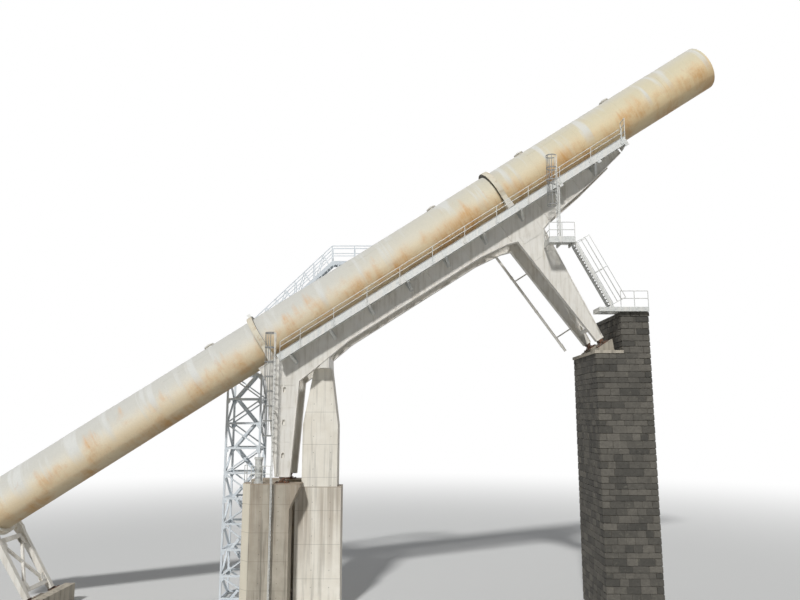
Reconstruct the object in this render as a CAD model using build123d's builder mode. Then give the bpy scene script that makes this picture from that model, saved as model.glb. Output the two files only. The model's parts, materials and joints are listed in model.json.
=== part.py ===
"""Inclined industrial pipe bridge, half real size, millimetres, Z up.

A large steel pressure pipe runs uphill across a steel portal frame. The frame's
lower legs stand upright on concrete pedestals, its upper legs stand square to
the pipe on a stone abutment, and a rocker support carries the lower pipe end.
Frame: X along the bridge towards the uphill end, Y across it (the walkway side
is -Y), Z up. The origin is on the floor, midway between the lower legs.
"""
import math
import os

from build123d import *

os.makedirs("parts", exist_ok=True)

# Main sizes.
SLOPE = 32.6                 # slope of the pipe, degrees
AXIS_Z = 9700.0              # height of the pipe axis at X = 0
PIPE_R = 838.0               # outside radius of the pipe
PIPE_WALL = 18.0
PIPE_LOW, PIPE_HIGH = -12500.0, 18300.0     # pipe ends, measured along the axis
RING_STATIONS = (-11850.0, -1050.0, 8950.0)  # rocker, lower legs, upper legs
MANHOLE_STATIONS = (-2800.0, 6670.0, 10570.0, 14470.0)
RING_RISE = 125.0            # how far a saddle ring stands proud of the pipe

GIRDER_Y = 800.0             # girder centre plane, each side of the middle
CORE = 180.0                 # width of the box part of girders and legs
FLANGE = 240.0               # width of their flange plates
PLATE = 30.0                 # thickness of the flange plates
GIRDER_TOP = -900.0          # girder top, measured square to the axis
GIRDER_SOFFIT = (            # underside of the girder: (along, square to) axis
    (-639.0, -2023.0), (300.0, -1925.0), (1500.0, -1760.0), (7000.0, -1760.0),
    (8044.0, -1880.0), (8421.0, -2000.0),
)
GIRDER_NOSE = ((9482.0, -2085.0), (10300.0, -1855.0), (11820.0, -1616.0), (13400.0, -1278.0))
GIRDER_HEEL = (-1593.0, -1413.0)             # lower corner of the downhill end

DECK_TOP = -1085.0           # walkway deck, square to the axis
DECK_THICK = 30.0
WALK_IN, WALK_OUT = 925.0, 1400.0            # walkway width, as distances from the middle
WALK_LOW, WALK_HIGH = -800.0, 13600.0
FASCIA = 20.0
BRACKET_STATIONS = [-400.0 + 1570.0 * i for i in range(9)] + [13480.0]
RAIL = 28.0                  # thickness of rails and posts

PEDESTAL_TOP = 4250.0
LEG_FOOT = 4449.0            # underside of the lower legs' foot plates
KNEE_Z = 7651.0              # level of the joint between lower leg and girder
HIGH_FOOT = -6400.0          # underside of the upper legs, square to the axis
HIGH_SEAT = -6600.0          # top of the plinths below them
ROCKER_FOOT = -3300.0
ROCKER_SEAT = -3400.0

C = math.cos(math.radians(SLOPE))
S = math.sin(math.radians(SLOPE))


# Work planes.
def side(y):
    """Elevation plane in the pipe's own directions: along it, square to it."""
    return Plane(origin=(0, y, AXIS_Z), x_dir=(C, 0, S), z_dir=(0, -1, 0))


def upright(y):
    """Elevation plane in plain X and Z."""
    return Plane(origin=(0, y, 0), x_dir=(1, 0, 0), z_dir=(0, -1, 0))


def across(s):
    """Plane square to the pipe at distance s along it: Y, square to axis."""
    return Plane(origin=(s * C, 0, AXIS_Z + s * S), x_dir=(0, 1, 0), z_dir=(C, 0, S))


def end_on(x):
    """Vertical plane across the bridge: Y and Z."""
    return Plane(origin=(x, 0, 0), x_dir=(0, 1, 0), z_dir=(1, 0, 0))


def beside(n):
    """Plane parallel to the slope at n square to the axis: along it, Y."""
    return Plane(origin=(-n * S, 0, AXIS_Z + n * C), x_dir=(C, 0, S), z_dir=(-S, 0, C))


def world(s, n):
    """X and Z of a point given along and square to the axis."""
    return s * C - n * S, AXIS_Z + s * S + n * C


# Sketch pieces.
def outline(points):
    """A closed polygon in the open sketch, whichever way round it is given."""
    ahead = points[1:] + points[:1]
    area = sum(p[0] * q[1] - q[0] * p[1] for p, q in zip(points, ahead))
    Polygon(*(points if area > 0 else points[::-1]), align=None)


def box2(x0, x1, y0, y1):
    """A rectangle given by its edges in the open sketch."""
    with Locations(((x0 + x1) / 2, (y0 + y1) / 2)):
        Rectangle(abs(x1 - x0), abs(y1 - y0))


def bar(p, q, width):
    """A straight bar from p to q in the open sketch."""
    dx, dy = q[0] - p[0], q[1] - p[1]
    turn = math.degrees(math.atan2(dy, dx))
    with Locations(Location(((p[0] + q[0]) / 2, (p[1] + q[1]) / 2, 0), (0, 0, turn))):
        Rectangle(math.hypot(dx, dy), width)


def raised(points, rise):
    return [(x, y + rise) for x, y in points]


def save(part, name):
    part.label = name
    export_step(part, f"parts/{name}.step")


# Pipe.
with BuildPart() as pipe:
    with BuildSketch(across(PIPE_LOW)):
        Circle(PIPE_R)
        Circle(PIPE_R - PIPE_WALL, mode=Mode.SUBTRACT)
    extrude(amount=PIPE_HIGH - PIPE_LOW)
save(pipe.part, "pipe")

# Manholes along the crown: a short neck with a bolted lid.
with BuildPart() as crown_manholes:
    for s in MANHOLE_STATIONS:
        with BuildSketch(beside(PIPE_R - 40)):
            with Locations((s, 0)):
                Circle(150)
        extrude(amount=70)
        with BuildSketch(beside(PIPE_R + 30)):
            with Locations((s, 0)):
                Circle(185)
        extrude(amount=28)
    with BuildSketch(across(PIPE_LOW)):
        Circle(PIPE_R)
    extrude(amount=PIPE_HIGH - PIPE_LOW, mode=Mode.SUBTRACT)
save(crown_manholes.part, "crown_manholes")

# Each saddle ring grips the pipe and stands on the girders, or on the rocker
# legs, with a foot on either side. The ring at the lower legs carries a lifting lug.
FOOT_PLATE = 30.0
with BuildPart() as saddle_rings:
    for s in RING_STATIONS:
        with BuildSketch(across(s - 100)):
            Circle(PIPE_R + RING_RISE)
            for y in (-GIRDER_Y, GIRDER_Y):
                box2(y - 110, y + 110, GIRDER_TOP + FOOT_PLATE, 40)
            Circle(PIPE_R, mode=Mode.SUBTRACT)
        extrude(amount=200)
        for y in (-GIRDER_Y, GIRDER_Y):
            with BuildSketch(side(y)):
                box2(s - 150, s + 150, GIRDER_TOP, GIRDER_TOP + FOOT_PLATE)
                outline([(s - 130, GIRDER_TOP + FOOT_PLATE), (s + 130, GIRDER_TOP + FOOT_PLATE),
                         (s + 100, -420), (s - 100, -420)])
            extrude(amount=100, both=True)
    with BuildSketch(side(0)):
        with Locations((RING_STATIONS[1], PIPE_R + 180)):
            Rectangle(110, 160)
    extrude(amount=45, both=True)
    with BuildSketch(across(PIPE_LOW)):
        Circle(PIPE_R)
    extrude(amount=PIPE_HIGH - PIPE_LOW, mode=Mode.SUBTRACT)
save(saddle_rings.part, "saddle_rings")


# Portal frame.
# Two haunched box girders with flange plates standing proud of their webs.
with BuildPart() as girders:
    for y in (-GIRDER_Y, GIRDER_Y):
        with BuildSketch(side(y)):
            outline([(GIRDER_HEEL[0], GIRDER_TOP), GIRDER_HEEL, *GIRDER_SOFFIT, *GIRDER_NOSE,
                     (GIRDER_NOSE[-1][0], GIRDER_TOP)])
        extrude(amount=CORE / 2, both=True)
        with BuildSketch(side(y)):
            box2(GIRDER_HEEL[0], GIRDER_NOSE[-1][0], GIRDER_TOP - PLATE, GIRDER_TOP)
            outline([*GIRDER_SOFFIT, *reversed(raised(GIRDER_SOFFIT, PLATE))])
            outline([*GIRDER_NOSE, *reversed(raised(GIRDER_NOSE, PLATE))])
            box2(GIRDER_HEEL[0], GIRDER_HEEL[0] + PLATE, GIRDER_HEEL[1], GIRDER_TOP)
        extrude(amount=FLANGE / 2, both=True)
save(girders.part, "girders")

# Lower legs: upright, tapered downwards, with hand holes in the outer faces.
LOW_TOP_L, LOW_TOP_R = world(*GIRDER_HEEL)[0], world(*GIRDER_SOFFIT[0])[0]
LOW_BOT_L, LOW_BOT_R = -207.0, 307.0
FOOT_Z = LEG_FOOT + PLATE
with BuildPart() as low_legs:
    for y in (-GIRDER_Y, GIRDER_Y):
        with BuildSketch(upright(y)):
            outline([(LOW_BOT_L, FOOT_Z), (LOW_BOT_R, FOOT_Z), (LOW_TOP_R, KNEE_Z),
                     (LOW_TOP_L, KNEE_Z)])
        extrude(amount=CORE / 2, both=True)
        with BuildSketch(upright(y)):
            outline([(LOW_BOT_L, FOOT_Z), (LOW_BOT_L + PLATE, FOOT_Z),
                     (LOW_TOP_L + PLATE, KNEE_Z), (LOW_TOP_L, KNEE_Z)])
            outline([(LOW_BOT_R, FOOT_Z), (LOW_TOP_R, KNEE_Z), (LOW_TOP_R - PLATE, KNEE_Z),
                     (LOW_BOT_R - PLATE, FOOT_Z)])
            box2(LOW_BOT_L, LOW_BOT_R, LEG_FOOT, FOOT_Z)
        extrude(amount=FLANGE / 2, both=True)
        outer = math.copysign(GIRDER_Y + CORE / 2, y)
        with BuildSketch(upright(outer)):
            for z in (5150, 6250, 7350):
                with Locations((50, z)):
                    SlotOverall(190, 90, rotation=90)
        extrude(amount=60, both=True, mode=Mode.SUBTRACT)
save(low_legs.part, "low_legs")

# Upper legs: square to the pipe, tapered downwards.
HIGH_TOP = (GIRDER_SOFFIT[-1], GIRDER_NOSE[0])
HIGH_BOT_L, HIGH_BOT_R = 8733.0, 9003.0
FALL = PLATE * (HIGH_TOP[0][1] - HIGH_TOP[1][1]) / (HIGH_TOP[1][0] - HIGH_TOP[0][0])
with BuildPart() as high_legs:
    for y in (-GIRDER_Y, GIRDER_Y):
        with BuildSketch(side(y)):
            outline([(HIGH_BOT_L, HIGH_FOOT), (HIGH_BOT_R, HIGH_FOOT), HIGH_TOP[1], HIGH_TOP[0]])
        extrude(amount=CORE / 2, both=True)
        with BuildSketch(side(y)):
            outline([(HIGH_BOT_L, HIGH_FOOT), (HIGH_BOT_L + PLATE, HIGH_FOOT),
                     (HIGH_TOP[0][0] + PLATE, HIGH_TOP[0][1] - FALL), HIGH_TOP[0]])
            outline([(HIGH_BOT_R, HIGH_FOOT), HIGH_TOP[1],
                     (HIGH_TOP[1][0] - PLATE, HIGH_TOP[1][1] + FALL),
                     (HIGH_BOT_R - PLATE, HIGH_FOOT)])
            box2(HIGH_BOT_L, HIGH_BOT_R, HIGH_FOOT, HIGH_FOOT + PLATE)
        extrude(amount=FLANGE / 2, both=True)
save(high_legs.part, "high_legs")

# Beams and flat diagonals between the two girders.
INSIDE = GIRDER_Y - CORE / 2
BEAM_STATIONS = BRACKET_STATIONS[:-1] + [13200.0]
with BuildPart() as crossbeams:
    with BuildSketch(side(0)):
        for s in BEAM_STATIONS:
            low = -1500 if s < 12000 else -1250
            box2(s - 12, s + 12, low, -1080)
            box2(s - 60, s + 60, low - 20, low)
            box2(s - 60, s + 60, -1080, -1060)
    extrude(amount=INSIDE, both=True)
save(crossbeams.part, "crossbeams")

BRACED = BEAM_STATIONS[:8]
with BuildPart() as plan_bracing:
    with BuildSketch(beside(-1545)):
        for a, b in zip(BRACED, BRACED[1:]):
            bar((a + 70, -INSIDE + 35), (b - 70, INSIDE - 35), 70)
            bar((a + 70, INSIDE - 35), (b - 70, -INSIDE + 35), 70)
        for s in BRACED:
            for y in (-INSIDE + 80, INSIDE - 80):
                with Locations((s, y)):
                    Rectangle(260, 160)
    extrude(amount=25)
save(plan_bracing.part, "plan_bracing")

# Crossed bracing between the two legs, lower portal and upper.
with BuildPart() as portal_bracing:
    for plane, foot, head in ((end_on(40), 4750, 7450), (across(8900), -6000, -2500)):
        with BuildSketch(plane):
            box2(-INSIDE, INSIDE, head - 200, head)
            box2(-INSIDE, INSIDE, foot, foot + 150)
            bar((-INSIDE + 55, foot + 150), (INSIDE - 55, head - 200), 90)
            bar((INSIDE - 55, foot + 150), (-INSIDE + 55, head - 200), 90)
        extrude(amount=60, both=True)
save(portal_bracing.part, "portal_bracing")

# Drain pipe beside the far upper leg, clipped to the girder and the leg.
DRAIN_Y, DRAIN_R = 990.0, 50.0
DRAIN_TOP, DRAIN_END = (7884.0, -1300.0), (8097.0, -6190.0)
CLIP = 50.0
D0, D1 = world(*DRAIN_TOP), world(*DRAIN_END)
with BuildPart() as drain_pipe:
    with BuildSketch(Plane(origin=(D0[0], DRAIN_Y, D0[1]), x_dir=(0, 1, 0),
                           z_dir=(D1[0] - D0[0], 0, D1[1] - D0[1]))):
        Circle(DRAIN_R)
    extrude(amount=math.dist(D0, D1))
    with BuildSketch(side(DRAIN_Y)):
        box2(DRAIN_TOP[0] - 20, DRAIN_TOP[0] + 40, -1500 - CLIP, -1500)
    extrude(amount=DRAIN_Y - GIRDER_Y - CORE / 2)
    with BuildSketch(side(GIRDER_Y + FLANGE / 2 + 30)):
        for n in (-3000, -5600):
            down = (DRAIN_TOP[1] - n) / (DRAIN_TOP[1] - DRAIN_END[1])
            along = (HIGH_TOP[0][1] - n) / (HIGH_TOP[0][1] - HIGH_FOOT)
            drain_s = DRAIN_TOP[0] + down * (DRAIN_END[0] - DRAIN_TOP[0])
            leg_s = HIGH_TOP[0][0] + along * (HIGH_BOT_L - HIGH_TOP[0][0])
            box2(drain_s, leg_s + 25, n - CLIP / 2, n + CLIP / 2)
    extrude(amount=30)
save(drain_pipe.part, "drain_pipe")


# Bearings.
def hinges(plane_of, centre, seat, foot):
    """A hinged bearing on either side, between a seat level and a foot level."""
    mid = (seat + foot) / 2
    with BuildPart() as pair:
        for y in (-GIRDER_Y, GIRDER_Y):
            with BuildSketch(plane_of(y)):
                box2(centre - 230, centre + 230, seat, seat + 30)
                outline([(centre - 150, seat + 30), (centre + 150, seat + 30),
                         (centre + 60, mid), (centre - 60, mid)])
                outline([(centre - 100, foot), (centre + 100, foot),
                         (centre + 50, mid), (centre - 50, mid)])
            extrude(amount=125, both=True)
            with BuildSketch(plane_of(y)):
                with Locations((centre, mid)):
                    RegularPolygon(radius=42, side_count=12)
            extrude(amount=150, both=True)
    return pair.part


LOW_MID = (LOW_BOT_L + LOW_BOT_R) / 2
HIGH_MID = (HIGH_BOT_L + HIGH_BOT_R) / 2
save(hinges(upright, LOW_MID, PEDESTAL_TOP, LEG_FOOT), "low_bearings")
save(hinges(side, HIGH_MID, HIGH_SEAT, HIGH_FOOT), "high_bearings")

# Rocker support.
ROCKER = RING_STATIONS[0]
with BuildPart() as rocker_frame:
    for y in (-GIRDER_Y, GIRDER_Y):
        with BuildSketch(side(y)):
            outline([(ROCKER - 150, GIRDER_TOP), (ROCKER + 150, GIRDER_TOP),
                     (ROCKER + 110, GIRDER_TOP - 250), (ROCKER + 80, ROCKER_FOOT),
                     (ROCKER - 80, ROCKER_FOOT), (ROCKER - 110, GIRDER_TOP - 250)])
        extrude(amount=CORE / 2, both=True)
    with BuildSketch(across(ROCKER - 45)):
        box2(-INSIDE, INSIDE, -1250, -1100)
        box2(-INSIDE, INSIDE, -3080, -2950)
        bar((-INSIDE + 45, -2950), (INSIDE - 45, -1250), 75)
        bar((INSIDE - 45, -2950), (-INSIDE + 45, -1250), 75)
    extrude(amount=90)
save(rocker_frame.part, "rocker_frame")

save(hinges(side, ROCKER, ROCKER_SEAT, ROCKER_FOOT), "rocker_bearings")

R0, R1 = world(ROCKER - 320, ROCKER_SEAT), world(ROCKER + 320, ROCKER_SEAT)
with BuildPart() as rocker_footing:
    with BuildSketch(upright(0)):
        outline([(R0[0] - 300, 0), (R1[0] + 350, 0), (R1[0] + 350, R1[1]), R1, R0,
                 (R0[0] - 300, R0[1])])
    extrude(amount=1150, both=True)
save(rocker_footing.part, "rocker_footing")

# Lower pier.
# Two pedestals, joined at the foot by a low wall.
PED_L, PED_R = -1250.0, 350.0
PED_IN, PED_OUT = 450.0, 1200.0
with BuildPart() as pedestals:
    for turn in (-1, 1):
        with BuildSketch(upright(turn * (PED_IN + PED_OUT) / 2)):
            outline([(PED_L, 0), (PED_R, 0), (PED_R, 3450), (PED_R + 340, 4180),
                     (PED_R + 340, PEDESTAL_TOP), (PED_L, PEDESTAL_TOP)])
        extrude(amount=(PED_OUT - PED_IN) / 2, both=True)
    corners = pedestals.edges().filter_by(Axis.Z).filter_by(
        lambda e: abs(e.center().X - PED_L) < 1 and abs(e.center().Y) > PED_OUT - 1)
    chamfer(corners, length=300)
    with BuildSketch():
        box2(PED_L, PED_R, -PED_IN, PED_IN)
    extrude(amount=600)
save(pedestals.part, "pedestals")

PIER_BASE_TOP = 4090.0
PIER_TOP = 8100.0
with BuildPart() as inner_pier:
    with BuildSketch(upright(0)):
        outline([(430, 0), (1990, 0), (1990, PIER_BASE_TOP), (1850, PIER_BASE_TOP),
                 (1850, 6165), (1600, PIER_TOP), (1000, PIER_TOP), (640, 6165),
                 (640, PIER_BASE_TOP), (430, PIER_BASE_TOP)])
    extrude(amount=420, both=True)
save(inner_pier.part, "inner_pier")

# A steel saddle beam on the pier carries both girders.
SAD0, SAD1 = (300.0, -1925.0), (640.0, -1925.0 + 340.0 * 165.0 / 1200.0)
with BuildPart() as pier_saddle:
    with BuildSketch(upright(0)):
        outline([(1200, PIER_TOP), (1560, PIER_TOP), world(*SAD1), world(*SAD0)])
    extrude(amount=900, both=True)
save(pier_saddle.part, "pier_saddle")

# Upper pier.
AB_L, AB_R, AB_Y = 10600.0, 12400.0, 1500.0
AB_TOP, STEP_X, STEP_TOP = 8550.0, 11500.0, 9950.0
CAP = 100.0
with BuildPart() as abutment:
    with BuildSketch(upright(0)):
        outline([(AB_L, 0), (AB_R, 0), (AB_R, STEP_TOP), (STEP_X, STEP_TOP),
                 (STEP_X, AB_TOP), (AB_L, AB_TOP)])
    extrude(amount=AB_Y, both=True)
save(abutment.part, "abutment")

P0, P1 = world(8868 - 300, HIGH_SEAT), world(8868 + 300, HIGH_SEAT)
with BuildPart() as abutment_cap:
    with BuildSketch(upright(0)):
        box2(AB_L - 60, STEP_X, AB_TOP, AB_TOP + CAP)
    extrude(amount=AB_Y + 50, both=True)
    for y in (-GIRDER_Y, GIRDER_Y):
        with BuildSketch(upright(y)):
            outline([(P0[0] - 60, AB_TOP + CAP), (P1[0] + 60, AB_TOP + CAP), P1, P0])
        extrude(amount=300, both=True)
save(abutment_cap.part, "abutment_cap")

# Walkway.
DECK_LOW = DECK_TOP - DECK_THICK
with BuildPart() as walkway_deck:
    with BuildSketch(side(-(WALK_IN + WALK_OUT) / 2)):
        box2(WALK_LOW, WALK_HIGH, DECK_LOW, DECK_TOP)
    extrude(amount=(WALK_OUT - WALK_IN) / 2, both=True)
save(walkway_deck.part, "walkway_deck")

FASCIA_TOP, FASCIA_LOW = -900.0, -1165.0
with BuildPart() as walkway_fascia:
    with BuildSketch(side(-WALK_OUT)):
        box2(WALK_LOW, WALK_HIGH, FASCIA_LOW, FASCIA_TOP)
    extrude(amount=FASCIA)
save(walkway_fascia.part, "walkway_fascia")

WEB_FACE = GIRDER_Y + CORE / 2
with BuildPart() as walkway_brackets:
    for s in BRACKET_STATIONS:
        deep = -1480 if s < 12500 else -1250
        with BuildSketch(across(s)):
            outline([(-WEB_FACE, DECK_LOW), (-WALK_OUT, DECK_LOW), (-WALK_OUT, FASCIA_LOW - 35),
                     (-WEB_FACE, deep)])
            box2(-WALK_OUT - FASCIA, -WALK_OUT, FASCIA_LOW - 35, FASCIA_LOW)
        extrude(amount=22, both=True)
save(walkway_brackets.part, "walkway_brackets")

POST_STATIONS = [20.0 + 1334.0 * i for i in range(11)]
RAIL_TOP = -610.0
RAIL_X = world(WALK_LOW + 20, FASCIA_LOW + 40)[0]
with BuildPart() as walkway_handrail:
    with BuildSketch(side(-WALK_OUT - FASCIA)):
        for n in (RAIL_TOP, RAIL_TOP - 145):
            box2((RAIL_X + n * S) / C, WALK_HIGH, n - RAIL / 2, n + RAIL / 2)
        for s in POST_STATIONS + [WALK_LOW + 20]:
            rise = RAIL_TOP - (FASCIA_LOW + 40)
            bar((s, FASCIA_LOW + 40), (s + rise * S / C, RAIL_TOP), RAIL)
    extrude(amount=RAIL)
save(walkway_handrail.part, "walkway_handrail")

GATE_X, GATE_Z = world(WALK_HIGH - 60, DECK_TOP)
GATE_Z += 8
with BuildPart() as walkway_gate:
    with BuildSketch(end_on(GATE_X)):
        for y in (-WALK_OUT + 14, -WALK_IN - 20):
            box2(y - 14, y + 14, GATE_Z, GATE_Z + 880)
        for z in (150, 400, 640, 866):
            box2(-WALK_OUT + 14, -WALK_IN - 20, GATE_Z + z - 12, GATE_Z + z + 12)
    extrude(amount=12, both=True)
save(walkway_gate.part, "walkway_gate")

# Ladders.
RUNG_STEP = 150.0
LADDER_W = 110.0             # half the width between stringer centres
CAGE_R = 190.0
LOW_LADDER = (-230.0, -1350.0, 0.0, 9270.0, 5800.0)       # X, Y, foot, head, cage foot
HIGH_LADDER = (9440.0, -1640.0, 12449.0, 15460.0, 13650.0)


with BuildPart() as ladders:
    for x, y, foot, head, cage_foot in (LOW_LADDER, HIGH_LADDER):
        with BuildSketch(end_on(x)):
            for side_y in (y - LADDER_W, y + LADDER_W):
                box2(side_y - 13, side_y + 13, foot, head)
            for i in range(int((head - foot - 600) // RUNG_STEP) + 1):
                z = foot + 200 + RUNG_STEP * i
                box2(y - LADDER_W, y + LADDER_W, z - 9, z + 9)
        extrude(amount=13, both=True)
save(ladders.part, "ladders")

# The cages are open towards the ladder: hoops joined by upright straps.
with BuildPart() as ladder_cages:
    for x, y, foot, head, cage_foot in (LOW_LADDER, HIGH_LADDER):
        middle = x - 13 - 140
        bays = int((head - 40 - cage_foot) // 430)
        for i in range(bays + 1):
            z = cage_foot + (head - 40 - cage_foot) * i / bays
            with BuildSketch(Plane.XY.offset(z)):
                with Locations((middle, y)):
                    RegularPolygon(radius=CAGE_R, side_count=16)
                    RegularPolygon(radius=CAGE_R - 16, side_count=16, mode=Mode.SUBTRACT)
                with Locations((x - 13 + 100, y)):
                    Rectangle(200, 600, mode=Mode.SUBTRACT)
            extrude(amount=30)
        for angle in (101.25, 146.25, 180, 213.75, 258.75):
            reach = (CAGE_R - 8) * math.cos(math.radians(11.25))
            px = middle + reach * math.cos(math.radians(angle))
            py = y + reach * math.sin(math.radians(angle))
            with BuildSketch(Plane.XY.offset(cage_foot)):
                with Locations(Location((px, py, 0), (0, 0, angle))):
                    Rectangle(14, 26)
            extrude(amount=head - 10 - cage_foot)
save(ladder_cages.part, "ladder_cages")

# Stays hold the low ladder to its pedestal and leg.
with BuildPart() as ladder_stays:
    for z, reach in ((1200, PED_OUT), (3900, PED_OUT), (6600, WEB_FACE)):
        inner = LOW_LADDER[1] + LADDER_W + 13
        with BuildSketch(Plane.XY.offset(z)):
            box2(LOW_LADDER[0] - 13, LOW_LADDER[0] + 13, inner, -reach)
        extrude(amount=26)
save(ladder_stays.part, "ladder_stays")

# Platform, stair.
PLAT_X0, PLAT_X1 = 9088.0, 9985.0
PLAT_Y0, PLAT_Y1 = -1800.0, -GIRDER_Y - FLANGE / 2
PLAT_TOP = 12449.0
with BuildPart() as platform:
    with BuildSketch(Plane.XY.offset(PLAT_TOP)):
        box2(PLAT_X0, PLAT_X1, PLAT_Y0, PLAT_Y1)
    extrude(amount=-30)
    with BuildSketch(Plane.XY.offset(PLAT_TOP - 30)):
        box2(PLAT_X0, PLAT_X1, PLAT_Y0, PLAT_Y0 + 50)
        box2(PLAT_X0, PLAT_X0 + 50, PLAT_Y0, PLAT_Y1)
        box2(PLAT_X1 - 50, PLAT_X1, PLAT_Y0, PLAT_Y1)
        box2(9510, 9570, PLAT_Y0, PLAT_Y1)
    extrude(amount=-112)
save(platform.part, "platform")

# Hangers from the walkway down to the platform.
HANG_X, HANG_Z = world(BRACKET_STATIONS[7], FASCIA_LOW - 35)
with BuildPart() as platform_hangers:
    with BuildSketch(end_on(HANG_X)):
        box2(-WALK_OUT - 40, -WALK_OUT, PLAT_TOP, HANG_Z - 12)
    extrude(amount=20, both=True)
save(platform_hangers.part, "platform_hangers")

LAND_X0, LAND_X1 = 10720.0, 12400.0
LAND_Y0, LAND_Y1 = -1680.0, -900.0
LAND_TOP = 10100.0
STAIR_Y0, STAIR_Y1 = -1680.0, -1240.0
STAIR_TOP = (PLAT_X1, PLAT_TOP)
STAIR_FOOT = (11229.0, LAND_TOP)
RISERS = 23
STRING = 24.0


STAIR_SLOPE = (STAIR_TOP[1] - STAIR_FOOT[1]) / (STAIR_FOOT[0] - STAIR_TOP[0])
with BuildPart() as stair_strings:
    for y in (STAIR_Y0 + STRING, STAIR_Y1):
        with BuildSketch(upright(y)):
            outline([STAIR_TOP, STAIR_FOOT, (STAIR_FOOT[0] - 110, STAIR_FOOT[1]),
                     (STAIR_TOP[0], STAIR_TOP[1] - 110 * STAIR_SLOPE)])
        extrude(amount=STRING)
save(stair_strings.part, "stair_strings")

RISE = (STAIR_TOP[1] - STAIR_FOOT[1]) / RISERS
GO = (STAIR_FOOT[0] - STAIR_TOP[0]) / RISERS
with BuildPart() as stair_treads:
    with BuildSketch(upright((STAIR_Y0 + STAIR_Y1) / 2)):
        for i in range(1, RISERS):
            x, z = STAIR_TOP[0] + GO * i, STAIR_TOP[1] - RISE * i
            box2(x - 50, x + 20, z - 14, z)
    extrude(amount=(STAIR_Y1 - STAIR_Y0) / 2 - STRING, both=True)
save(stair_treads.part, "stair_treads")

SLEN = math.hypot(STAIR_FOOT[0] - STAIR_TOP[0], STAIR_TOP[1] - STAIR_FOOT[1])
SU = ((STAIR_FOOT[0] - STAIR_TOP[0]) / SLEN, (STAIR_FOOT[1] - STAIR_TOP[1]) / SLEN)
SN = (-SU[1], SU[0])


def stair_point(t, off):
    """A point beside the flight: share of its length, distance square to it."""
    return (STAIR_TOP[0] + SU[0] * t * SLEN + SN[0] * off,
            STAIR_TOP[1] + SU[1] * t * SLEN + SN[1] * off)


with BuildPart() as stair_rails:
    for y in (STAIR_Y0, STAIR_Y1 + 24):
        with BuildSketch(upright(y)):
            for off in (180, 340, 500):
                bar(stair_point(0.04, off), stair_point(0.96, off), 24)
            for t in (0.04, 0.5, 0.96):
                bar(stair_point(t, -20), stair_point(t, 512), 24)
        extrude(amount=24)
save(stair_rails.part, "stair_rails")

with BuildPart() as landing:
    with BuildSketch(Plane.XY.offset(LAND_TOP)):
        box2(LAND_X0, LAND_X1, LAND_Y0, LAND_Y1)
    extrude(amount=-40)
    with BuildSketch(Plane.XY.offset(LAND_TOP - 40)):
        for y in (LAND_Y0, LAND_Y1 - 60):
            box2(LAND_X0, LAND_X1, y, y + 60)
        for x in (LAND_X0, 11420, LAND_X1 - 60):
            box2(x, x + 60, LAND_Y0, LAND_Y1)
    extrude(amount=-110)
save(landing.part, "landing")

# Guard rails round the platform and along the landing.
with BuildPart() as pier_rails:
    with BuildSketch(upright(PLAT_Y0)):
        for x in (PLAT_X0 + 14, 9540, PLAT_X1 - 14):
            box2(x - 14, x + 14, PLAT_TOP, PLAT_TOP + 580)
        for z in (566, 300):
            box2(PLAT_X0, PLAT_X1, PLAT_TOP + z - 14, PLAT_TOP + z + 14)
        box2(PLAT_X0, PLAT_X1, PLAT_TOP, PLAT_TOP + 75)
    extrude(amount=-RAIL)
    with BuildSketch(end_on(PLAT_X0)):
        for z in (566, 300):
            box2(PLAT_Y0, PLAT_Y1, PLAT_TOP + z - 14, PLAT_TOP + z + 14)
        box2(PLAT_Y1 - 28, PLAT_Y1, PLAT_TOP, PLAT_TOP + 580)
        box2(PLAT_Y0, PLAT_Y1, PLAT_TOP, PLAT_TOP + 75)
    extrude(amount=RAIL)
    with BuildSketch(upright(LAND_Y0)):
        for x in (11460, 11920, LAND_X1 - 14):
            box2(x - 14, x + 14, LAND_TOP, LAND_TOP + 560)
        for z in (546, 290):
            box2(11446, LAND_X1, LAND_TOP + z - 14, LAND_TOP + z + 14)
    extrude(amount=-RAIL)
save(pier_rails.part, "pier_rails")

# On the pedestal.
PIPE2_X, PIPE2_Y = -745.0, -900.0
with BuildPart() as standpipe:
    with BuildSketch(Plane.XY.offset(PEDESTAL_TOP)):
        with Locations((PIPE2_X, PIPE2_Y)):
            Circle(165)
    extrude(amount=40)
    with BuildSketch(Plane.XY.offset(PEDESTAL_TOP + 40)):
        with Locations((PIPE2_X, PIPE2_Y)):
            Circle(120)
    extrude(amount=740)
    with BuildSketch(Plane.XY.offset(PEDESTAL_TOP + 420)):
        with Locations((PIPE2_X, PIPE2_Y)):
            Circle(150)
    extrude(amount=50)
    with BuildSketch(Plane.XY.offset(PEDESTAL_TOP + 780)):
        with Locations((PIPE2_X, PIPE2_Y)):
            Circle(150)
    extrude(amount=60)
save(standpipe.part, "standpipe")

with BuildPart() as pedestal_rail:
    with BuildSketch(upright(-PED_OUT + 20)):
        for x in (PED_L + 320, -560, -300):
            box2(x - 14, x + 14, PEDESTAL_TOP, PEDESTAL_TOP + 590)
        for z in (576, 320):
            box2(PED_L + 306, -286, PEDESTAL_TOP + z - 14, PEDESTAL_TOP + z + 14)
    extrude(amount=-RAIL)
    with BuildSketch(end_on(PED_L + 20)):
        for y in (-PED_OUT + 330, -PED_IN - 40):
            box2(y - 14, y + 14, PEDESTAL_TOP, PEDESTAL_TOP + 590)
        for z in (576, 320):
            box2(-PED_OUT + 316, -PED_IN - 26, PEDESTAL_TOP + z - 14, PEDESTAL_TOP + z + 14)
    extrude(amount=RAIL)
save(pedestal_rail.part, "pedestal_rail")

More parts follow.
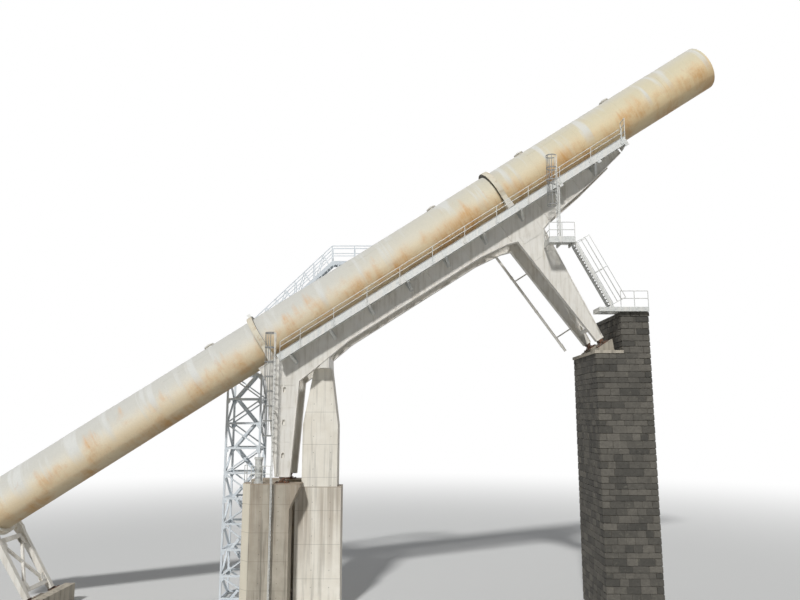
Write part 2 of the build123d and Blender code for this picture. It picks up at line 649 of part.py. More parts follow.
# Stair tower.
TOW_X0, TOW_X1 = -2400.0, -1100.0
TOW_Y0, TOW_Y1 = 1080.0, 2280.0
TOW_TOP = 8900.0
TOW_BAYS = 10
ANGLE = 70.0
TOW_STEP = TOW_TOP / TOW_BAYS
TOW_MID = (TOW_Y0 + TOW_Y1) / 2


def lattice(x0, x1, posts, rail):
    """One flat lattice side: level members, a diagonal in each bay, posts, rails."""
    if posts:
        box2(x0, x0 + ANGLE, 0, TOW_TOP + rail)
        box2(x1 - ANGLE, x1, 0, TOW_TOP + rail)
    box2(x0, x1, 60, 60 + ANGLE)
    for i in range(TOW_BAYS):
        low, high = max(TOW_STEP * i, 130), TOW_STEP * (i + 1)
        box2(x0, x1, high - ANGLE, high)
        a, b = (x0 + 40, x1 - 40) if i % 2 else (x1 - 40, x0 + 40)
        bar((a, low - 15), (b, high - 55), 45)
    for z, w in ((rail - 15, 30), (rail / 2, 24)):
        if rail:
            box2(x0, x1, TOW_TOP + z - w / 2, TOW_TOP + z + w / 2)


TOW_RAIL = 500.0
with BuildPart() as tower_faces:
    for y in (TOW_Y0 + ANGLE, TOW_Y1):
        with BuildSketch(upright(y)):
            lattice(TOW_X0, TOW_X1, True, TOW_RAIL)
        extrude(amount=ANGLE)
save(tower_faces.part, "tower_faces")

with BuildPart() as tower_ends:
    for x, rail in ((TOW_X0, TOW_RAIL), (TOW_X1 - ANGLE, 0)):
        with BuildSketch(end_on(x)):
            lattice(TOW_Y0 + ANGLE, TOW_Y1 - ANGLE, False, rail)
            if rail:
                box2(TOW_MID - 15, TOW_MID + 15, TOW_TOP, TOW_TOP + rail)
        extrude(amount=ANGLE)
save(tower_ends.part, "tower_ends")

# Landings at alternate ends of the tower with flights between them.
LAND_W = 200.0
with BuildPart() as tower_landings:
    for i in range(1, TOW_BAYS + 1):
        x0 = TOW_X0 + ANGLE if i % 2 == 0 else TOW_X1 - ANGLE - LAND_W
        with BuildSketch(Plane.XY.offset(TOW_STEP * i - 40)):
            box2(x0, x0 + LAND_W, TOW_Y0 + ANGLE, TOW_Y1 - ANGLE)
        extrude(amount=30)
save(tower_landings.part, "tower_landings")

TOW_RISERS = 9
with BuildPart() as tower_flights:
    for i in range(TOW_BAYS):
        up = i % 2 == 0
        y = TOW_Y0 + ANGLE + 40 if up else TOW_MID + 40
        a = TOW_X0 + ANGLE + LAND_W if up else TOW_X1 - ANGLE - LAND_W
        b = TOW_X1 - ANGLE - LAND_W if up else TOW_X0 + ANGLE + LAND_W
        low = TOW_STEP * i - 10 if i else 0.0
        high = TOW_STEP * (i + 1) - 10
        sign = math.copysign(1, b - a)
        with BuildSketch(upright(y + 20)):
            outline([(a, low), (a + sign * 110, low), (b, high - 110 * (high - low) / abs(b - a)),
                     (b, high)])
        extrude(amount=20)
        with BuildSketch(upright(y + 420)):
            outline([(a, low), (a + sign * 110, low), (b, high - 110 * (high - low) / abs(b - a)),
                     (b, high)])
        extrude(amount=20)
        with BuildSketch(upright(y + 400)):
            for k in range(1, TOW_RISERS):
                x = a + (b - a) * k / TOW_RISERS
                z = low + (high - low) * k / TOW_RISERS
                box2(x - sign * 10, x + sign * 70, z - 12, z)
        extrude(amount=380)
save(tower_flights.part, "tower_flights")

# Crown stair.
# A straight flight with lattice sides climbs from the tower to a landing at the
# level of the pipe's crown, on two bents bracketed off the far girder.
CR_Y0, CR_Y1 = 1200.0, 1640.0
CR_FOOT = (TOW_X0 + ANGLE + LAND_W, TOW_TOP - 10)
CR_HEAD = (1400.0, 12320.0)
CR_END = 3100.0
CR_RAIL = 590.0
CR_SLOPE = (CR_HEAD[1] - CR_FOOT[1]) / (CR_HEAD[0] - CR_FOOT[0])


def crown(x, rise):
    """A point at x, a given height above the line of the steps."""
    return x, CR_FOOT[1] + (x - CR_FOOT[0]) * CR_SLOPE + rise


with BuildPart() as crown_sides:
    for y in (CR_Y0 + STRING, CR_Y1):
        with BuildSketch(upright(y)):
            outline([(CR_FOOT[0] - 90, CR_FOOT[1]), (CR_FOOT[0] + 40, CR_FOOT[1]),
                     (CR_HEAD[0] + 40, CR_HEAD[1] - 150), CR_HEAD])
            box2(CR_HEAD[0], CR_END, CR_HEAD[1] - 150, CR_HEAD[1])
            bar(crown(CR_FOOT[0] + 10, CR_RAIL), crown(CR_HEAD[0], CR_RAIL), 30)
            bar(crown(CR_FOOT[0] + 10, CR_RAIL / 2), crown(CR_HEAD[0], CR_RAIL / 2), 22)
            for z, w in ((CR_RAIL, 30), (CR_RAIL / 2, 22)):
                box2(CR_HEAD[0] - 10, CR_END, CR_HEAD[1] + z - w / 2, CR_HEAD[1] + z + w / 2)
            for i in range(6):
                x = CR_FOOT[0] + 25 + i * (CR_HEAD[0] - CR_FOOT[0] - 25) / 5
                bar(crown(x, -10), crown(x, CR_RAIL), 30)
                if i < 5:
                    bar(crown(x + 350, CR_RAIL), crown(x + 130, 0), 26)
                    bar(crown(x + 350, CR_RAIL), crown(x + 570, 0), 26)
            for x in (CR_HEAD[0] + 850, CR_END - 15):
                box2(x - 15, x + 15, CR_HEAD[1] - 10, CR_HEAD[1] + CR_RAIL)
        extrude(amount=STRING)
save(crown_sides.part, "crown_sides")

CR_STEPS = 33
with BuildPart() as crown_treads:
    with BuildSketch(upright(CR_Y1 - STRING)):
        for i in range(1, CR_STEPS):
            x, z = crown(CR_FOOT[0] + (CR_HEAD[0] - CR_FOOT[0]) * i / CR_STEPS, 0)
            box2(x - 15, x + 85, z - 14, z)
    extrude(amount=CR_Y1 - CR_Y0 - 2 * STRING)
save(crown_treads.part, "crown_treads")

with BuildPart() as crown_landing:
    with BuildSketch(Plane.XY.offset(CR_HEAD[1] - 30)):
        box2(CR_HEAD[0] + 60, CR_END, CR_Y0 + STRING, CR_Y1 - STRING)
    extrude(amount=30)
    with BuildSketch(end_on(CR_END - 24)):
        for z in (CR_RAIL, CR_RAIL / 2):
            box2(CR_Y0 + STRING, CR_Y1 - STRING, CR_HEAD[1] + z - 12, CR_HEAD[1] + z + 12)
        box2(-12 + (CR_Y0 + CR_Y1) / 2, 12 + (CR_Y0 + CR_Y1) / 2, CR_HEAD[1], CR_HEAD[1] + CR_RAIL)
    extrude(amount=24)
save(crown_landing.part, "crown_landing")

with BuildPart() as crown_bents:
    for x, low in ((1650.0, 9250.0), (2900.0, 10040.0)):
        head = CR_HEAD[1] - 150
        with BuildSketch(end_on(x)):
            box2(GIRDER_Y + CORE / 2, CR_Y1, low, low + 130)
            for y in (CR_Y0, CR_Y1 - 60):
                box2(y, y + 60, low, head)
            box2(CR_Y0, CR_Y1, head - 70, head)
            bar((CR_Y0 + 50, low + 130), (CR_Y1 - 50, (low + head) / 2), 45)
            bar((CR_Y1 - 50, (low + head) / 2), (CR_Y0 + 50, head - 60), 45)
        extrude(amount=30, both=True)
save(crown_bents.part, "crown_bents")
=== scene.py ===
# %% [markdown]
# # An inclined industrial pipe bridge, at half its real size
# The real thing carries a pressure pipe, over three metres thick, down a hillside and across a gap. The packed
# CAD model already holds every main shape. It is loaded first as a fixed frame that isn't moved, so that the
# steelwork, stones and bolts made below can be placed on it by number.

# %% Load the fixed frame
import json
import math
import random

import bpy
from mathutils import Matrix, Vector


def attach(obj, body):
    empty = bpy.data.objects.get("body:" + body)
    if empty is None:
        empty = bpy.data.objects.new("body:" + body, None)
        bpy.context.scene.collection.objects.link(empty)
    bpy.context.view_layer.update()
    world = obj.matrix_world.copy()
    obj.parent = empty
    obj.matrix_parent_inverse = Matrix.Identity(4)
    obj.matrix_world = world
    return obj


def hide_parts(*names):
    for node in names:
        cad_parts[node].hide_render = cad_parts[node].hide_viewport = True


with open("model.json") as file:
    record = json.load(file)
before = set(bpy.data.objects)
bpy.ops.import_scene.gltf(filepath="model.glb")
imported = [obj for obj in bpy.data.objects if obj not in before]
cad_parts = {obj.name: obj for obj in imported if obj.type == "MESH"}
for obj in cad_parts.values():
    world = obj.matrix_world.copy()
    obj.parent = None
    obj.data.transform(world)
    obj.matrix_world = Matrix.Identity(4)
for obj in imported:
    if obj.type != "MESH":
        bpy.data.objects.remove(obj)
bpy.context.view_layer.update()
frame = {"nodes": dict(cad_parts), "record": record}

# %% [markdown]
# ## Camera
# The bridge is seen from the ground beside it, a little left of its upper half, looking up. A 31.5 mm lens on
# a 36 mm sensor gives the same wide view. Nothing is shifted: the tilt alone frames the bridge.

# %% Camera
eye = bpy.data.cameras.new("viewpoint")
eye.sensor_width, eye.lens, eye.clip_end = 36, 31.5, 900
camera = bpy.data.objects.new("viewpoint", eye)
camera.location = (4.0, -25.0, 6.5)
camera.rotation_euler = (math.radians(99.33), 0, 0)
bpy.context.scene.collection.objects.link(camera)
bpy.context.scene.camera = camera
bpy.context.scene.view_settings.view_transform = "Standard"
print("camera at", tuple(camera.location))

# %% [markdown]
# ## Nodes and colours
# A material is a small graph of nodes. One helper adds a node, sets its values and links its inputs, and it is
# used for every material. Colours are written as sRGB hex values, as a paint chart gives them, and are turned
# into the linear numbers that a renderer works with. Bleaching, dirt and rust are laid one over the other, as
# the weather does it: each coat has a share, which says where it covers what is below, and a colour. A pattern
# is stretched by a Map Range node, whose sockets 0 to 4 are the pattern, where it starts and ends, and what
# these two become.

# %% Node and colour helpers
def paint(code):
    """The linear colour of an sRGB hex value."""
    parts = [int(code[i:i + 2], 16) / 255 for i in (1, 3, 5)]
    return [p / 12.92 if p <= 0.04045 else ((p + 0.055) / 1.055) ** 2.4 for p in parts] + [1.0]


def wire(node, values):
    """Fills in a node: an output is linked, a pattern with numbers stretched first, the rest is set."""
    for key, value in values.items():
        if isinstance(value, tuple) and isinstance(value[0], bpy.types.NodeSocket):
            value = add(node.id_data, "MapRange", dict(enumerate(value)))
        if isinstance(value, bpy.types.NodeSocket):
            node.id_data.links.new(value, node.inputs[key])
        elif isinstance(key, str) and hasattr(node, key):
            setattr(node, key, value)
        else:
            node.inputs[key].default_value = paint(value) if isinstance(value, str) else value


def add(tree, kind, values=None, out=0):
    """One node with its settings and links; what comes back is the output that is asked for."""
    made = tree.nodes.new("ShaderNode" + kind)
    wire(made, values or {})
    return made.outputs[out] if made.outputs else made


def finish(name):
    """A new material, its tree and its Object coordinates."""
    made = bpy.data.materials.new(name)
    made.use_nodes = True
    return made, made.node_tree, add(made.node_tree, "TexCoord", out="Object")


def streaked(tree, place, stretch, detail, rough):
    """Noise that is stretched one way, as rain draws dirt down a side: how often it changes in a metre."""
    place = add(tree, "Mapping", {"Scale": stretch, "Vector": place})
    return add(tree, "TexNoise", {"Scale": 1.0, "Detail": detail, "Roughness": rough, "Vector": place})


def coated(tree, body, *coats):
    """A colour under coats, each with its share and its own colour."""
    for share, colour in coats:
        body = add(tree, "Mix", {"data_type": "RGBA", 0: share, 6: body, 7: colour}, 2)
    return body


def dress(look, values, *bumps):
    """Fills in a material's shader; a bump has a pattern, a strength and a height in metres."""
    tree, under = look.node_tree, {}
    for pattern, strength, rise in bumps:
        bump = {"Strength": strength, "Distance": rise, "Height": pattern, **under}
        under = {"Normal": add(tree, "Bump", bump)}
    wire(tree.nodes["Principled BSDF"], {**values, **under})
    print(look.name, len(tree.nodes), "nodes")


print("mid grey is", [round(v, 3) for v in paint("#808080")[:3]])

# %% [markdown]
# ## Light and floor
# The sun stands behind the viewer, a little to the left and about 41 degrees up, so that the walkway throws a
# clean shadow over the girder behind it. A wide weak lamp lights the far side, and an even grey world fills the
# shadows. The background is white only for the camera and for reflections, through the Light Path node, so it
# adds no light to the steel. The floor is a pale disc that fades into that white.

# %% Light
world = bpy.data.worlds.new("studio")
bpy.context.scene.world = world
world.use_nodes = True
sky = world.node_tree
sky.nodes.clear()
seen = add(sky, "LightPath", out="Is Camera Ray")
for ray in ("Is Glossy Ray", "Is Transmission Ray"):
    seen = add(sky, "Math", {"operation": "MAXIMUM", 0: seen, 1: add(sky, "LightPath", out=ray)})
fill = add(sky, "Background", {"Color": "#E4ECF8", "Strength": 0.12})
white = add(sky, "Background", {"Color": "#FFFFFF", "Strength": 1.0})
add(sky, "OutputWorld", {"Surface": add(sky, "MixShader", {0: seen, 1: fill, 2: white})})

LAMPS = (("key", 2.60, 5, (0.25, 0.95, -0.85)), ("far_side_fill", 0.60, 70, (-0.5, -0.8, -0.6)))
for name, power, spread, aim in LAMPS:
    lamp = bpy.data.lights.new(name, "SUN")
    lamp.energy, lamp.angle = power, math.radians(spread)
    holder = bpy.data.objects.new(name, lamp)
    holder.rotation_euler = Vector(aim).to_track_quat("-Z", "Y").to_euler()
    bpy.context.scene.collection.objects.link(holder)

# %% Floor
FADE_FROM, FADE_TO = 17.0, 60.0
bpy.ops.object.select_all(action="DESELECT")
bpy.ops.mesh.primitive_circle_add(vertices=96, radius=260, fill_type="NGON", location=(2.5, 0, 0))
floor = bpy.context.object
floor.name = "floor"
floor_finish, t, place = finish("Matt white studio floor")
dress(floor_finish, {"Base Color": "#D6D6D4", "Roughness": 0.9})
away = add(t, "VectorMath", {"operation": "LENGTH", 0: place}, "Value")
away = add(t, "MapRange", {"interpolation_type": "SMOOTHSTEP", 0: away, 1: FADE_FROM, 2: FADE_TO})
shown = add(t, "Math", {"operation": "MULTIPLY", 0: away, 1: add(t, "LightPath", out="Is Camera Ray")})
glow = add(t, "Emission", {"Color": "#FFFFFF", "Strength": 1.0})
blend = add(t, "MixShader", {0: shown, 1: t.nodes["Principled BSDF"].outputs[0], 2: glow})
wire(t.nodes["Material Output"], {"Surface": blend})
floor.data.materials.append(floor_finish)
print("floor fades to white between", FADE_FROM, "m and", FADE_TO, "m")

# %% [markdown]
# ## Numbers of the bridge
# The pipe rises at 32.6 degrees and its axis is 9.7 m above the floor at x = 0. Much of the steelwork follows
# that slope, so it is modelled level, with x along the pipe and z square to it, and then tilted by one matrix.
# Two box girders carry it, and each has two webs, the upright plates of the box.

# %% Numbers of the bridge
SLOPE = math.radians(32.6)
C, S = math.cos(SLOPE), math.sin(SLOPE)
AXIS_Z = 9.7
PIPE_R = 0.838
LOW_END, HIGH_END = -12.5, 18.3
GIRDER_Y, WEB = 0.800, 0.090
GIRDERS = (-GIRDER_Y, GIRDER_Y)
WEBS = [(y + sign * WEB, sign) for y in GIRDERS for sign in (-1, 1)]
TILT = Matrix(((C, 0, -S, 0), (0, 1, 0, 0), (S, 0, C, AXIS_Z), (0, 0, 0, 1)))
print("the pipe's ends are at", TILT @ Vector((LOW_END, 0, 0)), TILT @ Vector((HIGH_END, 0, 0)))

# %% [markdown]
# ## Finish of the pipe: faded cream paint over welded steel plate
# The paint has bleached to a chalky grey-white along the crown and is warm cream on the lower flank, more so
# towards the high end. That cream and tan are partly the paint's own colour and partly painted light: the lower
# flank is painted lighter and the crown left greyer, as a low sun from the front would show them. The underside
# is painted darker towards the bottom, as painted shade. Ochre and orange-brown rust has run down from seams and
# pinholes. So the pattern needs to know how far up the pipe's side a point is. A Mapping node turns Object
# coordinates by the slope, after which x runs along the pipe and z stands square to it. The run marks are noise
# that is short along the pipe and long round it: about 120 mm apart, a metre or more long. Bands about a metre
# apart say where rust has started higher up, with pale ones between them.

# %% Patterns of the pipe paint
LEVEL = {"Location": (-AXIS_Z * S, 0, -AXIS_Z * C), "Rotation": (0, SLOPE, 0)}
pipe_paint, t, place = finish("Faded cream paint on welded steel plate")
level = add(t, "Mapping", {**LEVEL, "Vector": place})
along, height = (add(t, "SeparateXYZ", {0: level}, way) for way in "XZ")
clouds = add(t, "TexNoise", {"Scale": 0.9, "Detail": 6.0, "Roughness": 0.6, "Vector": level})
speckle = add(t, "TexNoise", {"Scale": 26.0, "Detail": 3.0, "Vector": level})
runs = streaked(t, level, (5.5, 0.5, 0.7), 5.0, 0.65)
bands = streaked(t, level, (1.5, 0.15, 0.15), 4.0, 0.6)
patches = add(t, "Mapping", {"Location": (3.1, 7.7, 1.3), "Scale": (1.6, 0.8, 0.8), "Vector": level})
patches = add(t, "TexNoise", {"Scale": 1.15, "Detail": 7.0, "Roughness": 0.7, "Distortion": 0.5,
                              "Vector": patches})
tongue = add(t, "Math", {"operation": "SUBTRACT", 0: height, 1: (bands, 0.50, 0.70, 0, 0.55)})
# the cream and tan masks lighten the lower flank: partly the paint's own cream, partly painted light
cream_and_lit_flank, tan_and_lit_flank, crown, flank = (
    add(t, "MapRange", {"interpolation_type": "SMOOTHSTEP", 0: way, 1: start, 2: end, 4: most})
    for way, start, end, most in ((height, 0.40, -0.20, 0.85), (height, 0.12, -0.50, 0.6),
                                  (height, 0.30, 0.86, 1.0), (tongue, 0.22, -0.35, 1.0)))
print("patterns of", pipe_paint.name)

# %% Coats of the pipe paint
chalk, ochre, washed, rust = (
    add(t, "Math", {"operation": "MULTIPLY", 0: first, 1: second})
    for first, second in ((crown, (clouds, 0, 1, 0, 1.3)), (flank, (clouds, 0.44, 0.63)),
                          ((bands, 0.46, 0.38, 0, 0.8), (height, -0.45, 0.10)),
                          ((patches, 0.60, 0.80, 0, 0.5), (height, 0.75, 0.25))))
ochre = add(t, "Math", {"operation": "MULTIPLY", 0: ochre, 1: (runs, 0.35, 0.62, 0.30)})
warmth = add(t, "MapRange", {0: along, 1: 1.0, 2: 13.0})
cream = coated(t, "#F2E9D4", (warmth, "#F4E2BC"))
# cream and tan give the lower flank painted light; the last coat darkens the underside as painted shade
body = coated(t, "#CFCDC4", (warmth, "#D6CCAE"), (cream_and_lit_flank, cream), (tan_and_lit_flank, "#F2D5A2"), (chalk, "#D2D1CB"),
              (ochre, "#DEAD70"), (washed, "#DDDDD8"), (rust, "#CB9155"),
              ((height, -0.55, -0.84, 0, 0.5), "#6B6455"))
body = add(t, "VectorMath", {"operation": "SCALE", 0: body, "Scale": (speckle, 0, 1, 0.90, 1.08)})
# the bore, seen at the open ends, is lined with dark bitumen
radius = add(t, "VectorMath", {"operation": "MULTIPLY", 0: level, 1: (0, 1, 1)})
radius = add(t, "VectorMath", {"operation": "LENGTH", 0: radius}, "Value")
bore = add(t, "Math", {"operation": "LESS_THAN", 0: radius, 1: 0.826})
dress(pipe_paint, {"Base Color": coated(t, body, (bore, "#2E2A26")), "IOR": 1.5,
                   "Roughness": (clouds, 0, 1, 0.52, 0.82)}, (clouds, 0.12, 0.02), (speckle, 0.15, 0.002))

# %% [markdown]
# ## Finish of the portal frame: off-white paint on steel box sections
# Girders and legs are welded boxes in a hard off-white paint. Rain draws grey runs down them and rust shows in
# spots and under the runs.

# %% Frame paint
frame_paint, t, place = finish("Off-white paint on steel box sections")
runs = streaked(t, place, (9.0, 9.0, 0.8), 5.0, 0.6)
clouds = add(t, "TexNoise", {"Scale": 2.2, "Detail": 5.0, "Vector": place})
spots = add(t, "TexNoise", {"Scale": 11.0, "Detail": 6.0, "Roughness": 0.72, "Vector": place})
body = coated(t, "#E1DDD4", ((runs, 0.47, 0.72, 0, 0.75), "#BDB6A8"), ((clouds, 0.45, 0.70, 0, 0.6), "#E8E6E0"),
              ((spots, 0.66, 0.76, 0, 0.8), "#93603A"))
dress(frame_paint, {"Base Color": body, "IOR": 1.5, "Roughness": (clouds, 0, 1, 0.42, 0.72)},
      (spots, 0.2, 0.003))

# %% [markdown]
# ## Finish of the saddle rings: pipe cream outside, painted shade on the sides
# The rings were painted with the pipe, so their outer face is cream. Their flat sides are painted nearly black:
# painted shade for the shadow that falls on them. The normal along the pipe tells a flat side from the rim, and
# the feet keep the frame's off-white.

# %% Ring paint
ring_paint, t, place = finish("Cream paint with grime on rolled steel rings")
level = add(t, "Mapping", {**LEVEL, "Vector": place})
height = add(t, "SeparateXYZ", {0: level}, "Z")
streaks = add(t, "TexNoise", {"Scale": 5.0, "Detail": 6.0, "Roughness": 0.65, "Vector": level})
feet = add(t, "MapRange", {0: height, 1: -0.44, 2: -0.54})
lug = add(t, "Math", {"operation": "GREATER_THAN", 0: height, 1: PIPE_R + 0.13})
# the flat sides of each ring, found by their normal along the pipe, are painted nearly black as painted shade
side = add(t, "VectorMath", {"operation": "DOT_PRODUCT", 0: add(t, "TexCoord", out="Normal"), 1: (C, 0, S)},
           "Value")
side = add(t, "Math", {"operation": "ABSOLUTE", 0: side})
above_feet = add(t, "Math", {"operation": "SUBTRACT", 0: 1.0, 1: feet})
side = add(t, "Math", {"operation": "MULTIPLY", 0: (side, 0.8, 0.95), 1: above_feet})
side = add(t, "Math", {"operation": "SUBTRACT", "use_clamp": True, 0: side, 1: lug})
# the dark colours of the painted shade on the flat sides
painted_shade = coated(t, "#4A4740", (streaks, "#625C50"))
body = coated(t, "#DAD2BE", (feet, "#DDD9CE"), ((streaks, 0.5, 0.7, 0, 0.6), "#B79A70"), (side, painted_shade),
              (lug, "#ECECE8"))
dress(ring_paint, {"Base Color": body, "IOR": 1.5, "Roughness": (streaks, 0, 1, 0.55, 0.85)})

# %% [markdown]
# ## Finish of the bearings: cast steel, oiled and rusty
# The hinged bearings under the legs are bare cast steel with a film of old grease. Rust is a dull dielectric, so
# the metallic value drops where it lies.

# %% Cast steel
cast_steel, t, place = finish("Cast steel with old grease and rust")
grit = add(t, "TexNoise", {"Scale": 18.0, "Detail": 7.0, "Roughness": 0.65, "Vector": place})
rust = add(t, "MapRange", {0: grit, 1: 0.42, 2: 0.60})
dress(cast_steel, {"Base Color": coated(t, "#5B5853", (rust, "#74492D")), "Metallic": (rust, 0, 1, 0.85, 0.0),
                   "Roughness": (rust, 0, 1, 0.45, 0.9)}, (grit, 0.4, 0.003))

# %% [markdown]
# ## Finish of the piers: concrete cast against boards
# Two concretes share one recipe: a pale cream one on the tapered pier and a grey-brown, mossier one on the
# pedestals. Both show lift lines a metre apart, which are dark hairlines where one day's casting met the next,
# board marks 100 mm apart, and plugged tie holes, 30 mm wide, in a grid of 600 mm by half a lift. Broad brown
# runs, about 250 mm apart, start under the ledge, where rain spills over a dirty lip 30 mm high, and fade
# towards the ground. The bevelled corner that looks left and forward is painted paler, as painted sunlight.

# %% Concrete
def concrete(name, clean, dark, soiling, lifts, ledge):
    """Board-marked concrete: clean and dark colours, share of soiling, lift height, height of the ledge."""
    made, t, place = finish(name)
    x, y, up = (add(t, "SeparateXYZ", {0: place}, way) for way in "XYZ")
    sideways = add(t, "Math", {"operation": "ADD", 0: x, 1: y})
    raised = add(t, "Math", {"operation": "ADD", 0: up, 1: lifts / 4})
    clouds = add(t, "TexNoise", {"Scale": 1.8, "Detail": 7.0, "Roughness": 0.62, "Vector": place})
    runs = streaked(t, place, (7.0, 7.0, 0.35), 4.0, 0.6)
    spill = streaked(t, place, (4.2, 4.2, 0.10), 3.0, 0.55)
    spill = add(t, "Math", {"operation": "MULTIPLY", 0: (spill, 0.44, 0.60), 1: (up, ledge - 3.2, ledge - 0.6)})
    lip = add(t, "Math", {"operation": "GREATER_THAN", 0: up, 1: ledge - 0.03})
    below = add(t, "Math", {"operation": "LESS_THAN", 0: up, 1: ledge + 0.002})
    for how, other in (("MAXIMUM", lip), ("MULTIPLY", below), ("MULTIPLY", 0.75)):
        spill = add(t, "Math", {"operation": how, 0: spill, 1: other})
    # the bevelled corner face that looks left and forward is painted paler: painted sunlight
    corner = add(t, "VectorMath", {"operation": "DOT_PRODUCT", 0: add(t, "TexCoord", out="Normal"),
                                   1: (-0.7071, -0.7071, 0)}, "Value")
    lift, across, upward, boards = (
        add(t, "Math", {"operation": "PINGPONG", 0: way, 1: half})
        for way, half in ((up, lifts / 2), (sideways, 0.3), (raised, lifts / 4), (up, 0.05)))
    hole = add(t, "CombineXYZ", {0: across, 1: upward})
    hole = add(t, "VectorMath", {"operation": "LENGTH", 0: hole}, "Value")
    body = coated(t, clean, ((clouds, 0.35, 0.75, 0, 0.7), dark), ((runs, 0.50, 0.70, 0, soiling), "#57524A"),
                  (spill, "#9A8B79"), ((corner, 0.9, 0.97, 0, 0.75), "#EAE2CF"),
                  ((lift, 0.012, 0.004, 0, 0.35), "#6E675A"), ((hole, 0.018, 0.013, 0, 0.5), "#4E4A42"))
    boards = add(t, "MapRange", {0: boards, 2: 0.006})
    pits = add(t, "TexNoise", {"Scale": 42.0, "Detail": 4.0, "Vector": place})
    dress(made, {"Base Color": body, "Roughness": 0.88, "IOR": 1.5}, (boards, 0.35, 0.003), (pits, 0.35, 0.004))
    return made


cream_concrete = concrete("Cream concrete cast against boards", "#ECE7DB", "#D8D0C0", 0.34, 1.1, 4.09)
grey_concrete = concrete("Grey-brown weathered concrete", "#B7AFA0", "#938B7C", 0.75, 0.9, 4.25)

# %% [markdown]
# ## Finish of the abutment: hewn stone and its mortar
# The tall abutment is faced with hewn stones in dark greys, partly their own colour and partly painted shade for
# the shadow the wall stands in. Each stone made later carries a number of its own in an attribute, and that
# number picks its tone, so no two neighbours match. The mortar behind them is plain.

# %% Stone and mortar
hewn_stone, t, place = finish("Hewn dark gneiss")
tone = add(t, "Attribute", {"attribute_name": "tone"}, "Fac")
veins = add(t, "TexNoise", {"Scale": 9.0, "Detail": 8.0, "Roughness": 0.7, "Distortion": 0.8, "Vector": place})
lichen = add(t, "TexNoise", {"Scale": 4.0, "Detail": 6.0, "Roughness": 0.75, "Vector": place})
# dark greys, partly the stone's own colour and partly painted shade
body = coated(t, "#474540", (tone, "#6B675F"))
body = add(t, "VectorMath", {"operation": "SCALE", 0: body, "Scale": (veins, 0.3, 0.7, 0.72, 1.2)})
body = coated(t, body, ((lichen, 0.58, 0.68, 0, 0.5), "#7A776A"))
dress(hewn_stone, {"Base Color": body, "Roughness": 0.92}, (veins, 0.8, 0.012))

mortar, t, place = finish("Lime mortar")
sand = add(t, "TexNoise", {"Scale": 30.0, "Detail": 5.0, "Vector": place})
dress(mortar, {"Base Color": coated(t, "#4A463F", (sand, "#6E685C")), "Roughness": 0.95}, (sand, 0.5, 0.004))

# %% [markdown]
# ## Finish of walkways and ladders: hot-dip galvanised steel
# Zinc freezes into flat crystals, the spangle, about 12 mm across. They are drawn 25 mm wide here, so that they
# still show. Old zinc turns dull and pale, with grey runs and a little white bloom.

# %% Galvanised steel
galvanised, t, place = finish("Old hot-dip galvanised steel")
spangle = add(t, "TexVoronoi", {"feature": "F1", "Scale": 40.0, "Vector": place}, "Color")
spangle = add(t, "SeparateXYZ", {0: spangle}, "X")
runs = streaked(t, place, (8.0, 8.0, 1.0), 6.0, 0.65)
bloom = add(t, "MapRange", {0: runs, 1: 0.45, 2: 0.65, 4: 0.8})
rust = add(t, "TexNoise", {"Scale": 7.0, "Detail": 7.0, "Roughness": 0.72, "Vector": place})
body = coated(t, "#B7B9B7", (spangle, "#CFD0CC"), (bloom, "#DDDAD2"), ((rust, 0.64, 0.74, 0, 0.6), "#8E6B4C"))
dress(galvanised, {"Base Color": body, "Metallic": (bloom, 0, 1, 0.55, 0.05),
                   "Roughness": (spangle, 0, 1, 0.42, 0.62)})

# %% [markdown]
# ## Finish of the ladder cages: zinc that has gone dull
# The cages stand in the wet under the walkway, so their zinc is a darker, matt grey with brown runs. Dull zinc
# is mostly its own salts, so it has little metal left in its look.

# %% Dull zinc
dull_zinc, t, place = finish("Dull grey zinc with brown runs")
runs = streaked(t, place, (30.0, 30.0, 1.6), 5.0, 0.6)
body = coated(t, "#9A9C9A", (runs, "#7C7A75"), ((runs, 0.58, 0.70, 0, 0.7), "#6F5A47"))
dress(dull_zinc, {"Base Color": body, "Metallic": 0.25, "Roughness": (runs, 0, 1, 0.5, 0.75)})

# %% [markdown]
# ## Finish of the stair tower: cool white enamel paint
# The lattice stairs on the far side are in a newer, cooler white, with chips that have gone rusty.

# %% White paint
white_paint, t, place = finish("Cool white enamel paint on angle steel")
spots = add(t, "TexNoise", {"Scale": 14.0, "Detail": 6.0, "Roughness": 0.7, "Vector": place})
haze = add(t, "TexNoise", {"Scale": 2.0, "Detail": 4.0, "Vector": place})
body = coated(t, "#E2E7EA", (haze, "#C6CED4"), ((spots, 0.68, 0.74, 0, 0.8), "#8C6244"))
dress(white_paint, {"Base Color": body, "IOR": 1.5, "Roughness": (haze, 0, 1, 0.35, 0.6)})

# %% [markdown]
# ## Painting the CAD parts
# Every CAD node gets the finish of its own material slot, except that the tapered pier has a concrete of its
# own, the saddle rings their two-sided paint, and the manholes the whiter paint of the frame.

# %% Paint the CAD parts
FINISHES = {
    "pipe_paint": pipe_paint, "frame_paint": frame_paint, "bearing_iron": cast_steel,
    "concrete": grey_concrete, "stonework": mortar, "galvanised": galvanised, "white_paint": white_paint,
}
OWN_FINISH = {"inner_pier": cream_concrete, "saddle_rings": ring_paint, "crown_manholes": frame_paint}
slot_of = {p["node"]: p["material_slot"] for p in frame["record"]["subparts"]}
for name, node in frame["nodes"].items():
    node.data.materials.clear()
    node.data.materials.append(OWN_FINISH.get(name, FINISHES[slot_of[name]]))
print(len(frame["nodes"]), "CAD parts painted")

# %% [markdown]
# ## Tools for new pieces
# A new piece starts from a primitive at its real size and place. What repeats, such as a bolt or a stone, is
# modelled once and copied with one matrix per place. The last step names a piece, tilts it if it was modelled
# level, gives it its finish, and makes it ride on the bridge.

# %% Tools for new pieces
BRIDGE = "root"


def only(*chosen):
    """Selects these objects and nothing else."""
    bpy.ops.object.select_all(action="DESELECT")
    for item in chosen:
        item.select_set(True)
    bpy.context.view_layer.objects.active = chosen[-1]


